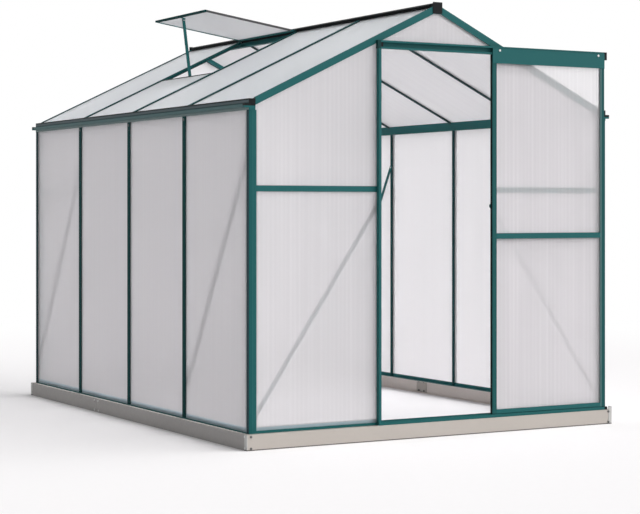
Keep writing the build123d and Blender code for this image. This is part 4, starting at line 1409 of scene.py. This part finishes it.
@dataclass
class Glazing(SubAssembly):
    """Twin-wall sheets of walls, gables, roof, door and vent, with the ribs between their skins."""

    rib_pitch: float = 0.0105
    rib_thickness: float = 0.0005
    rib_depth: float = 0.0034
    rib_margin: float = 0.002
    vent_tilt: float = math.radians(8.6)
    shortest_run: float = 1e-6
    corner_digits: int = 4

    def build(self) -> None:
        """Dress the sheets and set the ribs into them."""
        for sheets in self._sheets():
            self.shop.dress(sheets.look, sheets.node)
            self._ribs(sheets)

    def _sheets(self) -> list[FlutedSheets]:
        """Every node of sheets with its finish and the way that its flutes run.

        Returns:
            The nodes in order.
        """
        left_slope = Vector((-math.cos(ROOF_PITCH), 0.0, -math.sin(ROOF_PITCH)))
        right_slope = Vector((math.cos(ROOF_PITCH), 0.0, -math.sin(ROOF_PITCH)))
        vent_slope = Vector((-math.cos(self.vent_tilt), 0.0, math.sin(self.vent_tilt)))
        return [
            FlutedSheets("left_wall_panes", Look.LEFT_SHEET, ALONG_RIDGE, UP),
            FlutedSheets("right_wall_panes", Look.RIGHT_SHEET, ALONG_RIDGE, UP),
            FlutedSheets("front_panes", Look.FRONT_SHEET, ACROSS, UP),
            FlutedSheets("back_panes", Look.BACK_SHEET, ACROSS, UP),
            FlutedSheets("left_roof_panes", Look.LEFT_ROOF, ALONG_RIDGE, left_slope),
            FlutedSheets("right_roof_panes", Look.RIGHT_ROOF, ALONG_RIDGE, right_slope),
            FlutedSheets("door_panes", Look.DOOR_SHEET, ACROSS, UP, Body.DOOR),
            FlutedSheets("vent_pane", Look.VENT_SHEET, ALONG_RIDGE, vent_slope, Body.VENT),
        ]

    def _span(self, edges: Edges, sheets: FlutedSheets, place: float) -> tuple[float, float]:
        """Find how far a sheet reaches along its flutes at one place along its edge.

        Args:
            edges: the edges of the sheet.
            sheets: the node that it belongs to.
            place: the place along its edge.

        Returns:
            Its lowest and highest point, less a margin.
        """
        heights = []
        for first, second in edges:
            start = first.dot(sheets.along)
            end = second.dot(sheets.along)
            passes = min(start, end) <= place <= max(start, end)
            if passes and abs(end - start) > self.shortest_run:
                share = (place - start) / (end - start)
                heights.append(first.lerp(second, share).dot(sheets.flutes))
        return min(heights) + self.rib_margin, max(heights) - self.rib_margin

    def _ribs(self, sheets: FlutedSheets) -> None:
        """Set ribs side by side into each sheet of a node.

        Args:
            sheets: the node.
        """
        across = sheets.along.cross(sheets.flutes)
        feet: list[Foot] = []
        for edges in self.shop.solids(sheets.node):
            points = [point for edge in edges for point in edge]
            depths = [point.dot(across) for point in points]
            middle = across * (min(depths) + max(depths)) / 2
            turns = sorted({round(point.dot(sheets.along), self.corner_digits) for point in points})
            for start, end in zip(turns, turns[1:]):
                if end - start < 2 * self.rib_pitch:
                    continue
                for place in (start + self.rib_margin, end - self.rib_margin):
                    low, high = self._span(edges, sheets, place)
                    foot = sheets.along * place + sheets.flutes * low + middle
                    feet.append((foot, sheets.flutes * (high - low), across))
        size = (self.rib_pitch, self.rib_thickness, self.rib_depth)
        finish = self.shop.finished[sheets.look]
        ribs = self.shop.ribs.rows(sheets.node + "_ribs", feet, size, finish)
        self.shop.place(ribs, sheets.body, Slot.SHEET)


@dataclass
class SlidingDoor(SubAssembly):
    """Door leaf with its rollers."""

    dressing: Dressing = (
        (Look.STILE_LIT_AND_SHADED_GREEN, ("door_stiles",)),
        (Look.GREEN, ("door_top_rail", "door_top_plate", "door_mid_rail", "door_bottom_rail")),
        (Look.RUBBER, ("door_edge_seal",)),
        (Look.ZINC, ("roller_axles",)),
        (Look.PLASTIC, ("left_roller", "right_roller")),
    )


@dataclass
class RoofVent(SubAssembly):
    """Roof vent with its frame, stay and bracket."""

    dressing: Dressing = (
        (Look.GREEN, ("vent_hinge_rail", "vent_stay", "stay_bracket")),
        (Look.VENT_EDGE_LIT, ("vent_side_rails",)),
        (Look.SHADE_DARK_GREEN, ("vent_outer_rail",)),
        (Look.ZINC, ("stay_pin",)),
    )


def main() -> None:
    """Build the studio and every sub-assembly in order."""
    logging.basicConfig(level=logging.INFO, format="%(name)s: %(message)s")
    for left_over in list(bpy.data.objects):
        bpy.data.objects.remove(left_over)
    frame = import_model()
    shop = Workshop(frame)
    Studio().build()
    for assembly in (SteelBase, FrameBars, Glazing, SlidingDoor, RoofVent):
        assembly(shop).build()


if __name__ == "__main__":
    main()
